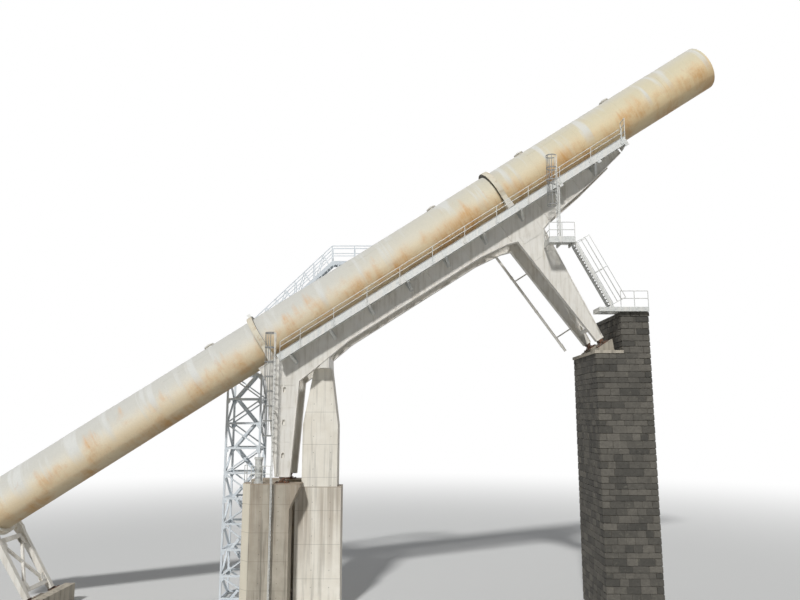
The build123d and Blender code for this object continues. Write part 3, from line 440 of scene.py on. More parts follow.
def edit(piece, kind="FACE", test=None):
    """Opens a piece for editing with all of it selected, or the corners, edges or faces that pass a test."""
    only(piece)
    bpy.ops.object.mode_set(mode="EDIT")
    bpy.ops.mesh.select_mode(type=kind)
    bpy.ops.mesh.select_all(action="DESELECT" if test else "SELECT")
    if test:
        bpy.ops.object.mode_set(mode="OBJECT")
        for item in getattr(piece.data, {"VERT": "vertices", "EDGE": "edges", "FACE": "polygons"}[kind]):
            item.select = test(item)
        bpy.ops.object.mode_set(mode="EDIT")


def close_up():
    """Turns every face of the edited piece outwards and leaves edit mode."""
    bpy.ops.mesh.select_all(action="SELECT")
    bpy.ops.mesh.normals_make_consistent(inside=False)
    bpy.ops.object.mode_set(mode="OBJECT")


def begin(primitive, **size):
    """A new primitive, the only thing selected, with its place and size in its mesh."""
    bpy.ops.object.select_all(action="DESELECT")
    primitive(**size)
    bpy.ops.object.transform_apply(location=True, rotation=True, scale=True)
    return bpy.context.object


def slab(low, high, edge=0.002):
    """A flat bar or plate between two corners, with its edges taken off."""
    low, high = Vector(low), Vector(high)
    made = begin(bpy.ops.mesh.primitive_cube_add, size=1, location=(low + high) / 2, scale=high - low)
    if edge:
        soften = made.modifiers.new("edges", "BEVEL")
        soften.width, soften.segments = edge, 1
        bpy.ops.object.modifier_apply(modifier="edges")
    return made


def block(edge=0):
    """A cube of unit size round the origin: the pattern of all flat bars and plates that are copied."""
    return slab((-0.5, -0.5, -0.5), (0.5, 0.5, 0.5), edge)


def joined(made):
    """Several objects as one mesh."""
    only(*made)
    if len(made) > 1:
        bpy.ops.object.join()
    return bpy.context.object


def copies(pattern, places, keep=False):
    """One mesh with a copy of the pattern at every place; each copy gets its own tone."""
    luck = random.Random(len(places))
    made = []
    for place in places:
        twin = bpy.data.objects.new(pattern.name, pattern.data.copy())
        twin.data.transform(place)
        tone = twin.data.attributes.new("tone", "FLOAT", "POINT")
        tone.data.foreach_set("value", [luck.random()] * len(twin.data.vertices))
        bpy.context.scene.collection.objects.link(twin)
        made.append(twin)
    if not keep:
        bpy.data.objects.remove(pattern)
    return joined(made)


def part_tilted(pattern, upright, level):
    """One mesh of copies, upright ones and ones that are placed level and tilted afterwards."""
    standing = copies(pattern, upright, keep=True)
    leaning = copies(pattern, level)
    leaning.data.transform(TILT)
    return joined([standing, leaning])


def settle(piece, name, slot, look=None, tilt=False, smooth=0):
    """Names a finished piece, tilts it if it was made level, and lets it ride on the bridge."""
    if tilt:
        piece.data.transform(TILT)
    piece.name = name
    piece.data.materials.clear()
    piece.data.materials.append(look or FINISHES[slot])
    if smooth:
        only(piece)
        bpy.ops.object.shade_smooth_by_angle(angle=math.radians(smooth))
    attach(piece, BRIDGE)
    print(name, len(piece.data.polygons), "faces")


print("tools ready")

# %% Placing copies
def between(p, q, radius):
    """Places a unit round bar from p to q."""
    run = Vector(q) - Vector(p)
    turn = run.to_track_quat("Z", "Y").to_matrix().to_4x4()
    return Matrix.Translation(p) @ turn @ Matrix.Diagonal((radius, radius, run.length, 1))


def facing(point, out, scale=1.0):
    """Places a pattern whose z points up so that it stands on a face that looks along out."""
    turn = Vector(out).to_track_quat("Z", "Y").to_matrix().to_4x4()
    return Matrix.Translation(point) @ turn @ Matrix.Scale(scale, 4)


def sized(low, high):
    """Places a unit cube so that it fills the box between two corners."""
    low, high = Vector(low), Vector(high)
    return Matrix.Translation((low + high) / 2) @ Matrix.Diagonal((*(high - low), 1))


def on_web(face, sign, thick, start, end, low, high):
    """Places a unit cube as a plate on a girder's web, whose face looks along sign."""
    a, b = sorted((face, face + sign * thick))
    return sized((start, a, low), (end, b, high))


UP = (0, 0, 1)
print("one step up:", facing((0, 0, 1), UP).translation)

# %% Round bar and bolt patterns
def built_up(sides, radius, steps):
    """A round solid: a flat circle that is extruded step by step, where each step rises and grows."""
    made = begin(bpy.ops.mesh.primitive_circle_add, vertices=sides, radius=radius, fill_type="NGON")
    edit(made)
    for rise, grow in steps:
        bpy.ops.mesh.extrude_region_move(TRANSFORM_OT_translate={"value": (0, 0, rise)})
        bpy.ops.transform.resize(value=(grow, grow, 1))
    close_up()
    return made


def round_bar(sides=12):
    """A unit round bar from z = 0 to z = 1, its ends turned in a little."""
    return built_up(sides, 0.8, ((0.002, 1.25), (0.996, 1.0), (0.002, 0.8)))


def tubes(lines, radius=0.0125, sides=12):
    """One mesh with a round bar along every line."""
    return copies(round_bar(sides), [between(p, q, radius) for p, q in lines])


def bolt(width=0.020):
    """A hexagon bolt head on a washer, standing on z = 0."""
    washer = begin(bpy.ops.mesh.primitive_cylinder_add, vertices=12, radius=width * 0.78, depth=0.003,
                   location=(0, 0, 0.0015))
    head = begin(bpy.ops.mesh.primitive_cylinder_add, vertices=6, radius=width * 0.58, depth=width * 0.62,
                 location=(0, 0, 0.003 + width * 0.31))
    edit(head, "FACE", lambda face: face.normal.z > 0.9)
    bpy.ops.mesh.inset(thickness=width * 0.08, depth=width * 0.05)
    bpy.ops.object.mode_set(mode="OBJECT")
    return joined([washer, head])


print("patterns ready")

# %% [markdown]
# ## Weld seams of the pipe
# The pipe is rolled from plates and welded into lengths of 1.9 m. Each joint shows as a low bead all round it,
# and each length has one seam along it, turned from its neighbours. A bead starts as a thin torus that is
# stretched to 24 mm wide.

# %% Weld seams of the pipe
SEAMS = [-10.45 + 1.91 * i for i in range(15)]
SEAM_TURNS = (38, 152, 74, 118)
bead = begin(bpy.ops.mesh.primitive_torus_add, major_radius=PIPE_R, minor_radius=0.005, major_segments=96,
             minor_segments=8, rotation=(0, math.pi / 2, 0))
edit(bead)
bpy.ops.transform.resize(value=(2.4, 1, 1))
bpy.ops.object.mode_set(mode="OBJECT")
girth = copies(bead, [Matrix.Translation((s, 0, 0)) for s in SEAMS])
lengths = []
for i, (s, after) in enumerate(zip([LOW_END] + SEAMS, SEAMS + [HIGH_END])):
    turn = math.radians(SEAM_TURNS[i % 4])
    y, n = PIPE_R * math.cos(turn), PIPE_R * math.sin(turn)
    lengths.append(Matrix.Translation((s, -y, n)) @ Matrix.Rotation(math.pi / 2, 4, "Y")
                   @ Matrix.Diagonal((0.008, 0.008, after - s, 1)))
along_seams = copies(round_bar(8), lengths)
settle(joined([girth, along_seams]), "pipe_weld_seams", "pipe_paint", tilt=True, smooth=50)

# %% [markdown]
# ## Manholes on the crown
# Each manhole is a short neck with a round lid, which the CAD model holds. Bolts stand round the lid's rim, a
# raised disc stiffens its middle, and a bent bar is its handle. The disc starts as a flat circle that is
# extruded and drawn in at the top, like a shallow dish turned over.

# %% Manhole discs, handles and bolts
MANHOLES = (-2.80, 6.67, 10.57, 14.47)
LID_TOP = PIPE_R + 0.058
LID_BOLTS, LID_BOLT_RING = 16, 0.155
disc = built_up(40, 0.118, ((0.006, 1.0), (0.004, 0.94), (0.004, 0.7)))
discs = copies(disc, [Matrix.Translation((s, 0, LID_TOP)) for s in MANHOLES])
grips, places = [], []
for s in MANHOLES:
    foot_a, foot_b = Vector((s - 0.05, 0, LID_TOP + 0.010)), Vector((s + 0.05, 0, LID_TOP + 0.010))
    lift = Vector((0, 0, 0.045))
    grips += [(foot_a, foot_a + lift), (foot_b, foot_b + lift), (foot_a + lift, foot_b + lift)]
    for k in range(LID_BOLTS):
        turn = 2 * math.pi * (k + 0.5) / LID_BOLTS
        places.append(facing((s + LID_BOLT_RING * math.cos(turn), LID_BOLT_RING * math.sin(turn), LID_TOP), UP))
discs = joined([discs, tubes(grips, 0.006, 8)])
settle(discs, "manhole_discs", "pipe_paint", frame_paint, tilt=True, smooth=35)
settle(copies(bolt(0.022), places), "manhole_bolts", "galvanised", tilt=True)

# %% [markdown]
# ## Plates of the girders
# The box girders are stiffened by upright plates between their flanges, and field joints are covered by bolted
# splice plates. The plates follow the haunch, so a small function gives the underside's height at any station.

# %% Girder stiffeners
SOFFIT = ((-1.593, -1.413), (-0.639, -2.023), (0.300, -1.925), (1.500, -1.760), (7.000, -1.760),
          (8.044, -1.880), (8.421, -2.000), (9.482, -2.085), (10.300, -1.855), (11.820, -1.616),
          (13.400, -1.278))


def soffit(s):
    """Height of the girder's underside at s, square to the pipe."""
    for (a, low), (b, high) in zip(SOFFIT, SOFFIT[1:]):
        if a <= s <= b:
            return low + (high - low) * (s - a) / (b - a)
    return SOFFIT[0][1] if s < 0 else SOFFIT[-1][1]


places = []
for i in range(18):
    s = -0.4 + 0.785 * i
    low = max(soffit(s - 0.005), soffit(s + 0.005)) + 0.031
    near = WEBS[:2] if i % 2 else WEBS[1:2]   # a bracket takes the place of every other outer one
    for face, sign in WEBS[2:] + near:
        places.append(on_web(face, sign, 0.027, s - 0.006, s + 0.006, low, -0.931))
settle(copies(block(), places), "girder_stiffeners", "frame_paint", tilt=True)

# %% Splice plates and their bolts
SPLICES, COVER = (3.62, 10.9), 0.012
plates, places = [], []
for s in SPLICES:
    low = soffit(s) + 0.06
    for face, sign in WEBS:
        plates.append(on_web(face, sign, COVER, s - 0.16, s + 0.16, low, -0.96))
        places += [facing((s + d, face + sign * COVER, low + 0.035 + 0.075 * row), (0, sign, 0))
                   for row in range(int((-0.96 - low) / 0.075)) for d in (-0.125, -0.055, 0.055, 0.125)]
settle(copies(block(0.006), plates), "girder_splice_plates", "frame_paint", tilt=True)
settle(copies(bolt(0.018), places), "girder_splice_bolts", "frame_paint", tilt=True)

# %% [markdown]
# ## Knees
# Where a leg meets its girder, a cover plate spans the joint on each face of the box and is bolted to both. The
# lower knees are made upright and the upper ones level, because the upper legs stand square to the pipe.

# %% Knee plates and their bolts
def knee(start, end, low, high, first, pitch):
    """Cover plates on the four webs, and their bolts in four rows of ten."""
    plates = [on_web(face, sign, COVER, start, end, low, high) for face, sign in WEBS]
    heads = [facing((first + pitch * k, face + sign * COVER, low + 0.04 + 0.073 * row), (0, sign, 0))
             for face, sign in WEBS for row in range(4) for k in range(10)]
    return plates, heads


low_plates, low_heads = knee(-0.42, 0.40, 7.50, 7.80, -0.37, 0.082)
high_plates, high_heads = knee(8.56, 9.36, -2.20, -1.90, 8.60, 0.080)
settle(part_tilted(block(0.008), low_plates, high_plates), "knee_plates", "frame_paint")
settle(part_tilted(bolt(0.018), low_heads, high_heads), "knee_bolts", "frame_paint")

# %% [markdown]
# ## Bolts of the bearings
# Four anchor bolts hold each bearing's base plate, and a cap nut closes each end of the hinge pin.

# %% Bearing bolts
upright, level = [], []
BEARINGS = ((upright, 0.05, 4.28, 4.3495), (level, 8.868, -6.57, -6.5), (level, -11.85, -3.37, -3.35))
for y in GIRDERS:
    for dx in (-0.195, 0.195):
        for dy in (-0.085, 0.085):
            for places, middle, base, _ in BEARINGS:
                places.append(facing((middle + dx, y + dy, base), UP))
    for sign in (-1, 1):
        for places, middle, _, pin in BEARINGS:
            places.append(facing((middle, y + sign * 0.15, pin), (0, sign, 0), 1.4))
settle(part_tilted(bolt(0.034), upright, level), "bearing_bolts", "bearing_iron")

# %% [markdown]
# ## Walkway grating
# The walkway's floor is an open grating: flat bars on edge with twisted rods across them. It stands in for the
# plain CAD deck. Bars are 26 mm apart, and hide the light from the side as the real ones do.

# %% Walkway grating
WALK_LOW, WALK_HIGH, WALK_IN, WALK_OUT, DECK = -0.80, 13.60, 0.925, 1.400, -1.085
pieces = [slab((WALK_LOW, y, DECK - 0.03), (WALK_HIGH, y + 0.006, DECK), 0)
          for y in (-WALK_OUT, -WALK_IN - 0.006)]
places = []
for k in range(1, 18):
    y = -WALK_OUT + k * (WALK_OUT - WALK_IN) / 18
    places.append(sized((WALK_LOW, y - 0.003, DECK - 0.03), (WALK_HIGH, y + 0.003, DECK)))
for k in range(241):
    s = WALK_LOW + 0.003 + k * (WALK_HIGH - WALK_LOW - 0.006) / 240
    places.append(sized((s - 0.003, -WALK_OUT, DECK - 0.012), (s + 0.003, -WALK_IN, DECK)))
grating = joined(pieces + [copies(block(), places)])
settle(grating, "walkway_grating", "galvanised", tilt=True)
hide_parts("walkway_deck")

# %% Fascia lips, joint covers and post plates
BRACKETS = [-0.4 + 1.57 * i for i in range(9)]
POSTS = [0.02 + 1.334 * i for i in range(11)] + [-0.78]
pieces, places = [], []
for low in (-0.908, -1.165):
    pieces.append(slab((WALK_LOW, -1.445, low), (WALK_HIGH, -1.400, low + 0.008)))
for s in BRACKETS + [13.48]:
    pieces.append(slab((s - 0.06, -1.428, -1.15), (s + 0.06, -1.420, -0.915)))
    places += [facing((s + d, -1.428, n), (0, -1, 0)) for d in (-0.035, 0.035) for n in (-1.12, -1.03, -0.945)]
for s in (10.70, 12.33, 13.52):
    pieces.append(slab((s - 0.07, -1.440, -1.250), (s + 0.07, -1.402, -1.150), 0.004))
for s in POSTS:
    middle = s + 0.05 * S / C
    pieces.append(slab((middle - 0.05, -1.4285, -1.13), (middle + 0.05, -1.420, -1.02)))
    places += [facing((middle + d, -1.4285, n), (0, -1, 0)) for d in (-0.036, 0.036) for n in (-1.112, -1.038)]
settle(joined(pieces), "fascia_lips", "galvanised", tilt=True)
settle(copies(bolt(0.014), places), "fascia_bolts", "galvanised", tilt=True)

# %% [markdown]
# ## Guard rails
# The CAD rails are square bars of 28 mm. The real ones are round tubes, so each run is rebuilt from a round bar
# along the same lines. The posts of the walkway stand upright, not square to the slope, on the bolted plates
# made above.

# %% Walkway guard rail
RAILS, POST_FOOT = (-0.610, -0.755), -1.125
run_start = (TILT @ Vector((-0.78, 0, POST_FOOT))).x
lines = [((run_start + n * S) / C, WALK_HIGH - 0.012, n, n) for n in RAILS]
lines += [(s, s + (RAILS[0] - POST_FOOT) * S / C, POST_FOOT, RAILS[0]) for s in POSTS]
rails = tubes([(TILT @ Vector((s, -1.434, n)), TILT @ Vector((after, -1.434, above)))
               for s, after, n, above in lines])
settle(rails, "walkway_tubes", "galvanised", smooth=40)
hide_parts("walkway_handrail")

# %% Guard rails of platform, landing, stair and pedestal
def guard(foot, posts, runs, heights):
    """Lines of posts on a floor, and of a rail along every run at every height; posts reach the first."""
    lines = [((x, y, foot), (x, y, foot + heights[0])) for x, y in posts]
    return lines + [((*start, foot + rise), (*end, foot + rise)) for rise in heights for start, end in runs]


PLATFORM = X0, X1, Y0, Y1, TOP = 9.088, 9.985, -1.800, -0.920, 12.449
LAND_TOP, PEDESTAL_TOP = 10.100, 4.25
side_x, side_y = X0 + 0.014, Y0 + 0.014
lines = guard(TOP, [(x, side_y) for x in (side_x, 9.54, X1 - 0.014)],
              (((X0 + 0.002, side_y), (X1 - 0.002, side_y)), ((side_x, Y0 + 0.002), (side_x, Y1 - 0.002))),
              (0.566, 0.300))
lines += guard(TOP, [(side_x, Y1 - 0.014)], (), (0.566,))
lines += guard(LAND_TOP, [(x, -1.666) for x in (11.46, 11.92, 12.386)], [((11.448, -1.666), (12.398, -1.666))],
               (0.546, 0.290))
kick = [slab((X0, Y0 + 0.010, TOP), (X1, Y0 + 0.018, TOP + 0.075)),
        slab((X0 + 0.010, Y0, TOP), (X0 + 0.018, Y1, TOP + 0.075))]
pier_tubes = joined([tubes(lines)] + kick)
settle(pier_tubes, "pier_rail_tubes", "galvanised", smooth=40)
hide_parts("pier_rails")

head, foot = Vector((9.985, 0, 12.449)), Vector((11.229, 0, 10.100))
step = foot - head
off_line = Vector((-step.z, 0, step.x)).normalized()
lines = []
for y in (-1.692, -1.228):
    start = head + Vector((0, y, 0))
    lines += [(start + step * 0.035 + off_line * off, start + step * 0.965 + off_line * off)
              for off in (0.180, 0.340, 0.500)]
    lines += [(start + step * share - off_line * 0.02, start + step * share + off_line * 0.50)
              for share in (0.04, 0.5, 0.96)]
stair_tubes = tubes(lines, 0.011)
settle(stair_tubes, "stair_rail_tubes", "galvanised", smooth=40)
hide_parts("stair_rails")

posts = ((-0.93, -1.166), (-0.56, -1.166), (-0.30, -1.166), (-1.216, -0.87), (-1.216, -0.49))
runs = (((-0.944, -1.166), (-0.286, -1.166)), ((-1.216, -0.884), (-1.216, -0.476)))
lines = guard(PEDESTAL_TOP, posts, runs, (0.576, 0.320))
pedestal_tubes = tubes(lines)
settle(pedestal_tubes, "pedestal_rail_tubes", "galvanised", smooth=40)
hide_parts("pedestal_rail")

# %% [markdown]
# ## Ladders and their cages
# The ladders have flat stringers and round rungs, and the cages are hoops of thin strip held by upright straps.
# A hoop starts as a circle of edges that is extruded upwards and given its thickness by Solidify.

# %% Ladders
LADDERS = ((-0.230, -1.350, 0.0, 9.270, 5.800), (9.440, -1.640, 12.449, 15.460, 13.650))
flats, rungs = [], []
for x, y, foot_z, head_z, _ in LADDERS:
    for side_y in (y - 0.110, y + 0.110):
        flats.append(sized((x - 0.013, side_y - 0.005, foot_z), (x + 0.013, side_y + 0.005, head_z)))
    for i in range(int((head_z - foot_z - 0.6) / 0.15 + 0.0001) + 1):
        z = foot_z + 0.2 + 0.15 * i
        rungs.append(((x, y - 0.118, z), (x, y + 0.118, z)))
ladder = joined([copies(block(), flats), tubes(rungs, 0.009, 8)])
settle(ladder, "ladder_rungs_and_stringers", "galvanised", smooth=40)
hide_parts("ladders")

# %% Ladder cages
hoop = begin(bpy.ops.mesh.primitive_circle_add, vertices=40, radius=0.186, fill_type="NOTHING")
edit(hoop, "VERT", lambda corner: corner.co.x > 0.142)
bpy.ops.mesh.delete(type="VERT")
bpy.ops.mesh.select_all(action="SELECT")
bpy.ops.mesh.extrude_region_move(TRANSFORM_OT_translate={"value": (0, 0, 0.040)})
bpy.ops.object.mode_set(mode="OBJECT")
wall = hoop.modifiers.new("wall", "SOLIDIFY")
wall.thickness, wall.offset = 0.006, 0
bpy.ops.object.modifier_apply(modifier="wall")
hoops, straps = [], []
for x, y, _, head_z, cage_z in LADDERS:
    middle, tall = x - 0.153, head_z - 0.04 - cage_z
    bays = int(tall / 0.43)
    hoops += [Matrix.Translation((middle, y, cage_z + tall * i / bays)) for i in range(bays + 1)]
    strap = sized((0.179, -0.012, cage_z), (0.184, 0.012, head_z - 0.012))
    straps += [Matrix.Translation((middle, y, 0)) @ Matrix.Rotation(math.radians(angle), 4, "Z") @ strap
               for angle in (101.25, 146.25, 180, 213.75, 258.75)]
cage = joined([copies(hoop, hoops), copies(block(), straps)])
settle(cage, "ladder_hoops_and_straps", "galvanised", dull_zinc, smooth=30)
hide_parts("ladder_cages")

# %% [markdown]
# ## Weld seams and hand holes of the steel boxes
# The webs are welded from plates. Each joint across a web shows as a low rounded bead, made from a round bar
# sunk halfway into the face. Every hand hole in a lower leg has a flat rim: an oval face with its middle cut out
# by an inset, then raised from the web.

# %% Weld beads of girders and legs
lines = []
for face, sign in WEBS:
    for i in range(9):
        s = -0.0075 + 1.57 * i
        lines.append((TILT @ Vector((s, face, soffit(s) + 0.03)), TILT @ Vector((s, face, -0.93))))
    for n in (-2.9, -4.0, -5.1):
        left = 8.421 + 0.312 * (-2.0 - n) / 4.4 + 0.03
        right = 9.482 - 0.479 * (-2.085 - n) / 4.315 - 0.03
        lines.append((TILT @ Vector((left, face, n)), TILT @ Vector((right, face, n))))
    for z in (5.60, 6.75):
        share = (z - 4.479) / 3.172
        lines.append(((-0.177 - 0.374 * share, face, z), (0.277 + 0.245 * share, face, z)))
settle(tubes(lines, 0.006, 8), "web_weld_beads", "frame_paint", smooth=50)

# %% Rims of the hand holes
rim = begin(bpy.ops.mesh.primitive_circle_add, vertices=24, radius=0.062, fill_type="NGON",
            rotation=(0, 0, math.radians(7.5)))
for corner in rim.data.vertices:
    corner.co.y += math.copysign(0.05, corner.co.y)
edit(rim)
bpy.ops.mesh.inset(thickness=0.016)
bpy.ops.mesh.delete(type="FACE")
bpy.ops.mesh.select_all(action="SELECT")
bpy.ops.mesh.extrude_region_move(TRANSFORM_OT_translate={"value": (0, 0, 0.010)})
close_up()
rims = [facing((0.05, sign * (GIRDER_Y + WEB), z), (0, sign, 0))
        for sign in (-1, 1) for z in (5.15, 6.25, 7.35)]
settle(copies(rim, rims), "hand_hole_rims", "frame_paint", smooth=30)

# %% [markdown]
# ## Gussets
# Where bars of a lattice or a brace meet, a thin plate is bolted over the joint. One plate with a clipped corner
# serves everywhere: it is a flat slab whose far upright edge is bevelled away.

# %% Pattern of a gusset
def gusset():
    """A plate of unit size with a corner at the origin; the opposite corner is clipped."""
    made = slab((0, 0, 0), (1, 1, 0.06), 0)
    corners = made.data.vertices
    edit(made, "EDGE", lambda edge: all(corners[v].co.x + corners[v].co.y > 1.9 for v in edge.vertices))
    bpy.ops.mesh.bevel(offset=0.5, segments=1, affect="EDGES")
    bpy.ops.object.mode_set(mode="OBJECT")
    return made


def corner_plate(plates, heads, corner, run, rise, out, size):
    """Places a gusset and its bolts from a corner along two directions, on a face that looks along out."""
    run, rise = Vector(run), Vector(rise)
    if run.cross(rise).dot(Vector(out)) < 0:
        run, rise = rise, run
    spot = Matrix.Translation(corner) @ Matrix((run, rise, run.cross(rise))).transposed().to_4x4()
    plates.append(spot @ Matrix.Scale(size, 4))
    heads += [spot @ Matrix.Translation((size * a, size * b, size * 0.06))
              for a, b in ((0.2, 0.2), (0.2, 0.7), (0.7, 0.2))]


print("gusset ready")

# %% Gussets of the stair tower
X0, X1, Y0, Y1, ANGLE, STEP = -2.400, -1.100, 1.080, 2.280, 0.070, 0.890
DOWN = (0, 0, -1)
plates, heads = [], []
for i in range(1, 11):
    z = STEP * i - ANGLE
    for x, inward in ((X0, 1), (X1, -1)):
        for y in (Y0, Y1 - ANGLE):
            corner_plate(plates, heads, (x, y, z), (inward, 0, 0), DOWN, (0, -1, 0), 0.15)
    for y, inward in ((Y0 + ANGLE, 1), (Y1 - ANGLE, -1)):
        for x, out in ((X0, -1), (X1, 1)):
            corner_plate(plates, heads, (x, y, z), (0, inward, 0), DOWN, (out, 0, 0), 0.15)
settle(copies(gusset(), plates), "tower_gussets", "white_paint")
settle(copies(bolt(0.014), heads), "tower_bolts", "white_paint")

# %% Gussets of the cross bracing
INSIDE = GIRDER_Y - WEB
upright, level = ([], []), ([], [])
for lists, middle, half, low, high in ((upright, 0.04, 0.06, 4.90, 7.25), (level, 8.90, 0.06, -5.85, -2.70),
                                       (level, -11.85, 0.045, -2.95, -1.25)):
    for out in (-1, 1):
        for y, inward in ((-INSIDE, 1), (INSIDE, -1)):
            for z, along in ((low, 1), (high, -1)):
                corner_plate(*lists, (middle + out * half, y, z), (0, inward, 0), (0, 0, along),
                             (out, 0, 0), 0.26)
settle(part_tilted(gusset(), upright[0], level[0]), "brace_gussets", "frame_paint")
for s in BRACKETS[:8]:
    for y in (-INSIDE + 0.08, INSIDE - 0.08):
        level[1].extend(facing((s + ds, y + dy, -1.545), DOWN) for ds in (-0.09, 0.09) for dy in (-0.05, 0.05))
settle(part_tilted(bolt(0.020), upright[1], level[1]), "brace_bolts", "frame_paint")

# %% [markdown]
# ## Brackets of the walkway
# Each bracket is a triangular plate in the CAD model. A flat bar along its lower edge makes it a T, and an end
# plate with six bolts fixes it to the girder.

# %% Bracket flanges and end plates
flange = slab((-0.045, -0.285, -0.010), (0.045, 0.285, 0.0))
flange.data.transform(Matrix.Rotation(math.radians(-28.8), 4, "X"))
flanges = copies(flange, [Matrix.Translation((s, -1.148, -1.342)) for s in BRACKETS])
end_plate = slab((-0.075, -0.010, -1.47), (0.075, 0, -1.12))
ends = copies(end_plate, [Matrix.Translation((s, -0.890, 0)) for s in BRACKETS])
settle(joined([flanges, ends]), "bracket_flanges", "galvanised", tilt=True)
places = [facing((s + d, -0.900, n), (0, -1, 0))
          for s in BRACKETS for d in (-0.05, 0.05) for n in (-1.43, -1.30, -1.17)]
settle(copies(bolt(0.016), places), "bracket_bolts", "galvanised", tilt=True)

# %% [markdown]
# ## Standpipe and drain pipe
# The short standpipe on the pedestal has bolted flanges and a blank lid. The drain pipe beside the far leg is
# made of lengths with sockets.

# %% Bolts and sockets of the small pipes
places = []
for z, ring in ((4.29, 0.143), (4.72, 0.136), (5.09, 0.132)):
    for k in range(8):
        turn = math.pi * (k + 0.5) / 4
        places.append(facing((-0.745 + ring * math.cos(turn), -0.9 + ring * math.sin(turn), z), UP))
settle(copies(bolt(0.022), places), "standpipe_bolts", "galvanised")
drain_top, drain_end = TILT @ Vector((7.884, 0.99, -1.3)), TILT @ Vector((8.097, 0.99, -6.19))
starts = [drain_top.lerp(drain_end, share) for share in (0.0, 0.30, 0.62, 0.94)]
sockets = tubes([(p, p.lerp(drain_end, 0.09 / (drain_end - p).length)) for p in starts], 0.060, 20)
settle(sockets, "drain_sockets", "frame_paint", smooth=40)

# %% [markdown]
# ## Stair treads, platform and landing
# The small stair has grated treads with a solid nosing. The platform and the landing are gratings too, laid in a
# frame of channels. A channel starts as a solid bar whose hidden side is inset and pushed in.

# %% Grated stair treads
def grate(x0, x1, y0, y1, top, deep, bars, rods):
    """Flat bars along y and rods along x that fill a rectangle under a level top."""
    places = []
    for k in range(bars):
        x = x0 + 0.003 + (x1 - x0 - 0.006) * k / (bars - 1)
        places.append(sized((x - 0.003, y0, top - deep), (x + 0.003, y1, top)))
    for k in range(rods):
        y = y0 + 0.003 + (y1 - y0 - 0.006) * k / (rods - 1)
        places.append(sized((x0, y - 0.003, top - 0.010), (x1, y + 0.003, top)))
    return copies(block(), places)


TREADS = 23
nosing = slab((0.006, -1.656, -0.014), (0.020, -1.264, 0))
tread = joined([grate(-0.050, 0.006, -1.656, -1.264, 0, 0.014, 4, 14), nosing])
treads = copies(tread, [Matrix.Translation(head + step * i / TREADS) for i in range(1, TREADS)])
settle(treads, "stair_grated_treads", "galvanised")
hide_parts("stair_treads")

# %% Platform and landing
def channel(low, high, hollow):
    """A bar whose side that looks along hollow is inset and pushed in, as a channel is."""
    made = slab(low, high)
    hollow = Vector(hollow)
    deep = 0.8 * min(abs((Vector(high) - Vector(low)).dot(hollow)), 0.1)
    edit(made, "FACE", lambda face: face.normal.dot(hollow) > 0.99)
    bpy.ops.mesh.inset(thickness=0.008, depth=-deep)
    bpy.ops.object.mode_set(mode="OBJECT")
    return made


X0, X1, Y0, Y1, TOP = PLATFORM
low, inner = TOP - 0.142, Y0 + 0.05
bars = [channel((X0, Y0, low), (X1, inner, TOP), (0, 1, 0)),
        channel((X0, inner, low), (X0 + 0.05, Y1, TOP), (1, 0, 0)),
        channel((X1 - 0.05, inner, low), (X1, Y1, TOP), (-1, 0, 0)),
        channel((9.51, inner, low), (9.57, Y1, TOP - 0.030), (1, 0, 0))]
platform = joined(bars + [grate(X0 + 0.05, X1 - 0.05, inner, Y1, TOP - 0.001, 0.029, 30, 9)])
settle(platform, "platform_channels_and_grating", "galvanised")
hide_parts("platform")

X0, X1, Y0, Y1, TOP = 10.720, 12.400, -1.680, -0.900, LAND_TOP
low, inner, outer = TOP - 0.150, Y0 + 0.06, Y1 - 0.06
bars = [channel((X0, Y0, low), (X1, inner, TOP), (0, 1, 0)),
        channel((X0, outer, low), (X1, Y1, TOP), (0, -1, 0))]
bars += [channel((x, inner, low), (x + 0.06, outer, TOP - 0.040), (1, 0, 0)) for x in (X0, 11.42, X1 - 0.06)]
landing = joined(bars + [grate(X0, X1, inner, outer, TOP - 0.001, 0.039, 54, 9)])
settle(landing, "landing_channels_and_grating", "galvanised")
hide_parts("landing")

# %% [markdown]
# ## Grips and end plates of the crown stair
# Raised bars keep a boot from slipping on the painted treads and on the landing, and each bent is held to the
# far girder by a bolted end plate. The bars and plates are slabs with their edges taken off.

# %% Grips and end plates of the crown stair
FOOT_X, FOOT_Z, HEAD_X, HEAD_Z = -2.130, 8.890, 1.400, 12.320
CROWN_RISERS, BENT_FACE = 33, GIRDER_Y + WEB + COVER
places = []
for i in range(1, CROWN_RISERS):
    x = FOOT_X + (HEAD_X - FOOT_X) * i / CROWN_RISERS
    z = FOOT_Z + (HEAD_Z - FOOT_Z) * i / CROWN_RISERS
    places += [sized((x + d - 0.005, 1.240, z), (x + d + 0.005, 1.600, z + 0.004))
               for d in (-0.009, 0.030, 0.069)]
for k in range(27):
    x = HEAD_X + 0.080 + k * 0.060
    places.append(sized((x - 0.008, 1.240, HEAD_Z), (x + 0.008, 1.600, HEAD_Z + 0.004)))
grips = copies(block(0.08), places)
plates, places = [], []
for x, low in ((1.650, 9.250), (2.900, 10.040)):
    plates.append(slab((x - 0.085, GIRDER_Y + WEB, low - 0.025), (x + 0.085, BENT_FACE, low + 0.155)))
    places += [facing((x + dx, BENT_FACE, z), (0, 1, 0))
               for dx in (-0.060, 0.060) for z in (low, low + 0.065, low + 0.130)]
settle(joined([grips] + plates), "crown_stair_grips", "white_paint")
settle(copies(bolt(0.018), places), "bent_bolts", "white_paint")

# %% [markdown]
# ## Stones of the abutment
# Each course has its own height and each stone its own length, drawn from a seeded generator, with long quoins
# turned alternately round the corners. One bevelled, roughened block is modelled and copied; the plain CAD
# block behind it shows only in the joints, as mortar.

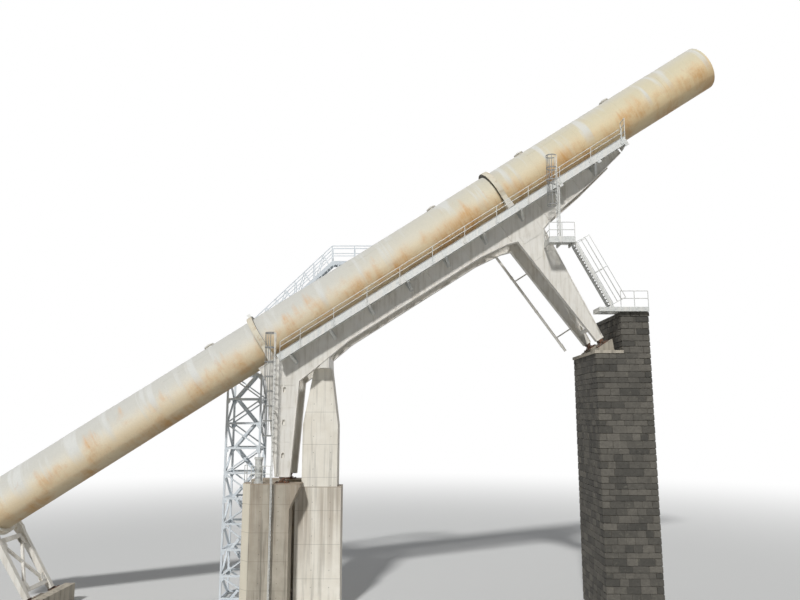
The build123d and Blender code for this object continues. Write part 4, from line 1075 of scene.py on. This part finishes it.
# %% Pattern of a hewn stone
stone = begin(bpy.ops.mesh.primitive_cube_add, size=1)
edit(stone)
bpy.ops.mesh.bevel(offset=0.07, segments=1, affect="EDGES")
bpy.ops.object.mode_set(mode="OBJECT")
luck = random.Random(11)
for corner in stone.data.vertices:
    corner.co += Vector((luck.uniform(-0.012, 0.012), luck.uniform(-0.012, 0.012), luck.uniform(-0.02, 0.02)))
print("stone", len(stone.data.polygons), "faces")

# %% Courses of stones
luck = random.Random(5)
X0, X1, STEP_X, Y, TOP, STEP_TOP = 10.6, 12.4, 11.5, 1.5, 8.55, 9.95
JOINT, PROUD, DEEP = 0.008, 0.024, 0.05
GAP = JOINT / 2


def lay(places, x, y, z):
    """Places one stone between two ends each way, with half a joint under and over it."""
    (xa, xb), (ya, yb) = sorted(x), sorted(y)
    places.append(sized((xa, ya, z[0] + GAP), (xb, yb, z[1] - GAP)))


def course(places, low, high, along_y, out, z, wall):
    """Stones from low to high along one face; wall is the face's place and out the way it looks."""
    at = low
    while at < high - 0.02:
        length = luck.uniform(0.24, 0.50)
        if high - at - length < 0.22:
            length = high - at
        depth = PROUD + luck.uniform(-0.006, 0.004)
        run, across = (at + GAP, at + length - GAP), (wall - out * DEEP, wall + out * depth)
        lay(places, *((across, run) if along_y else (run, across)), z)
        at += length


places = []
z, number = 0.0, 0
while z < STEP_TOP - 0.16:
    left, limit = (X0, TOP) if z < TOP - 0.01 else (STEP_X, STEP_TOP - 0.15)
    tall = luck.uniform(0.17, 0.25)
    if limit - z - tall < 0.15:
        tall = limit - z
    long_x, long_y = (0.42, 0.22) if number % 2 else (0.22, 0.42)
    for x, sx in ((left, 1), (X1, -1)):
        for y, sy in ((-Y, 1), (Y, -1)):
            lay(places, (x - sx * PROUD, x + sx * (long_x - GAP)), (y - sy * PROUD, y + sy * (long_y - GAP)),
                (z, z + tall))
    for wall, out in ((left, -1), (X1, 1)):
        course(places, -Y + long_y, Y - long_y, True, out, (z, z + tall), wall)
    for wall, out in ((-Y, -1), (Y, 1)):
        course(places, left + long_x, X1 - long_x, False, out, (z, z + tall), wall)
    z, number = z + tall, number + 1
COPING, SLABS = (9.80, 9.95), 7
for k in range(SLABS):
    ya, yb = -1.545 + 3.09 * k / SLABS + 0.003, -1.545 + 3.09 * (k + 1) / SLABS - 0.003
    for xa, xb in ((STEP_X - 0.045, STEP_X + 0.30), (X1 - 0.30, X1 + 0.045)):
        places.append(sized((xa, ya, COPING[0]), (xb, yb, COPING[1])))
for y, out in ((-Y, -1), (Y, 1)):
    a, b = sorted((y + out * 0.045, y - out * 0.30))
    places.append(sized((STEP_X + 0.306, a, COPING[0]), (X1 - 0.306, b, COPING[1])))
masonry = copies(stone, places)
settle(masonry, "abutment_stones", "stonework", hewn_stone)
print(number, "courses,", len(places), "stones")
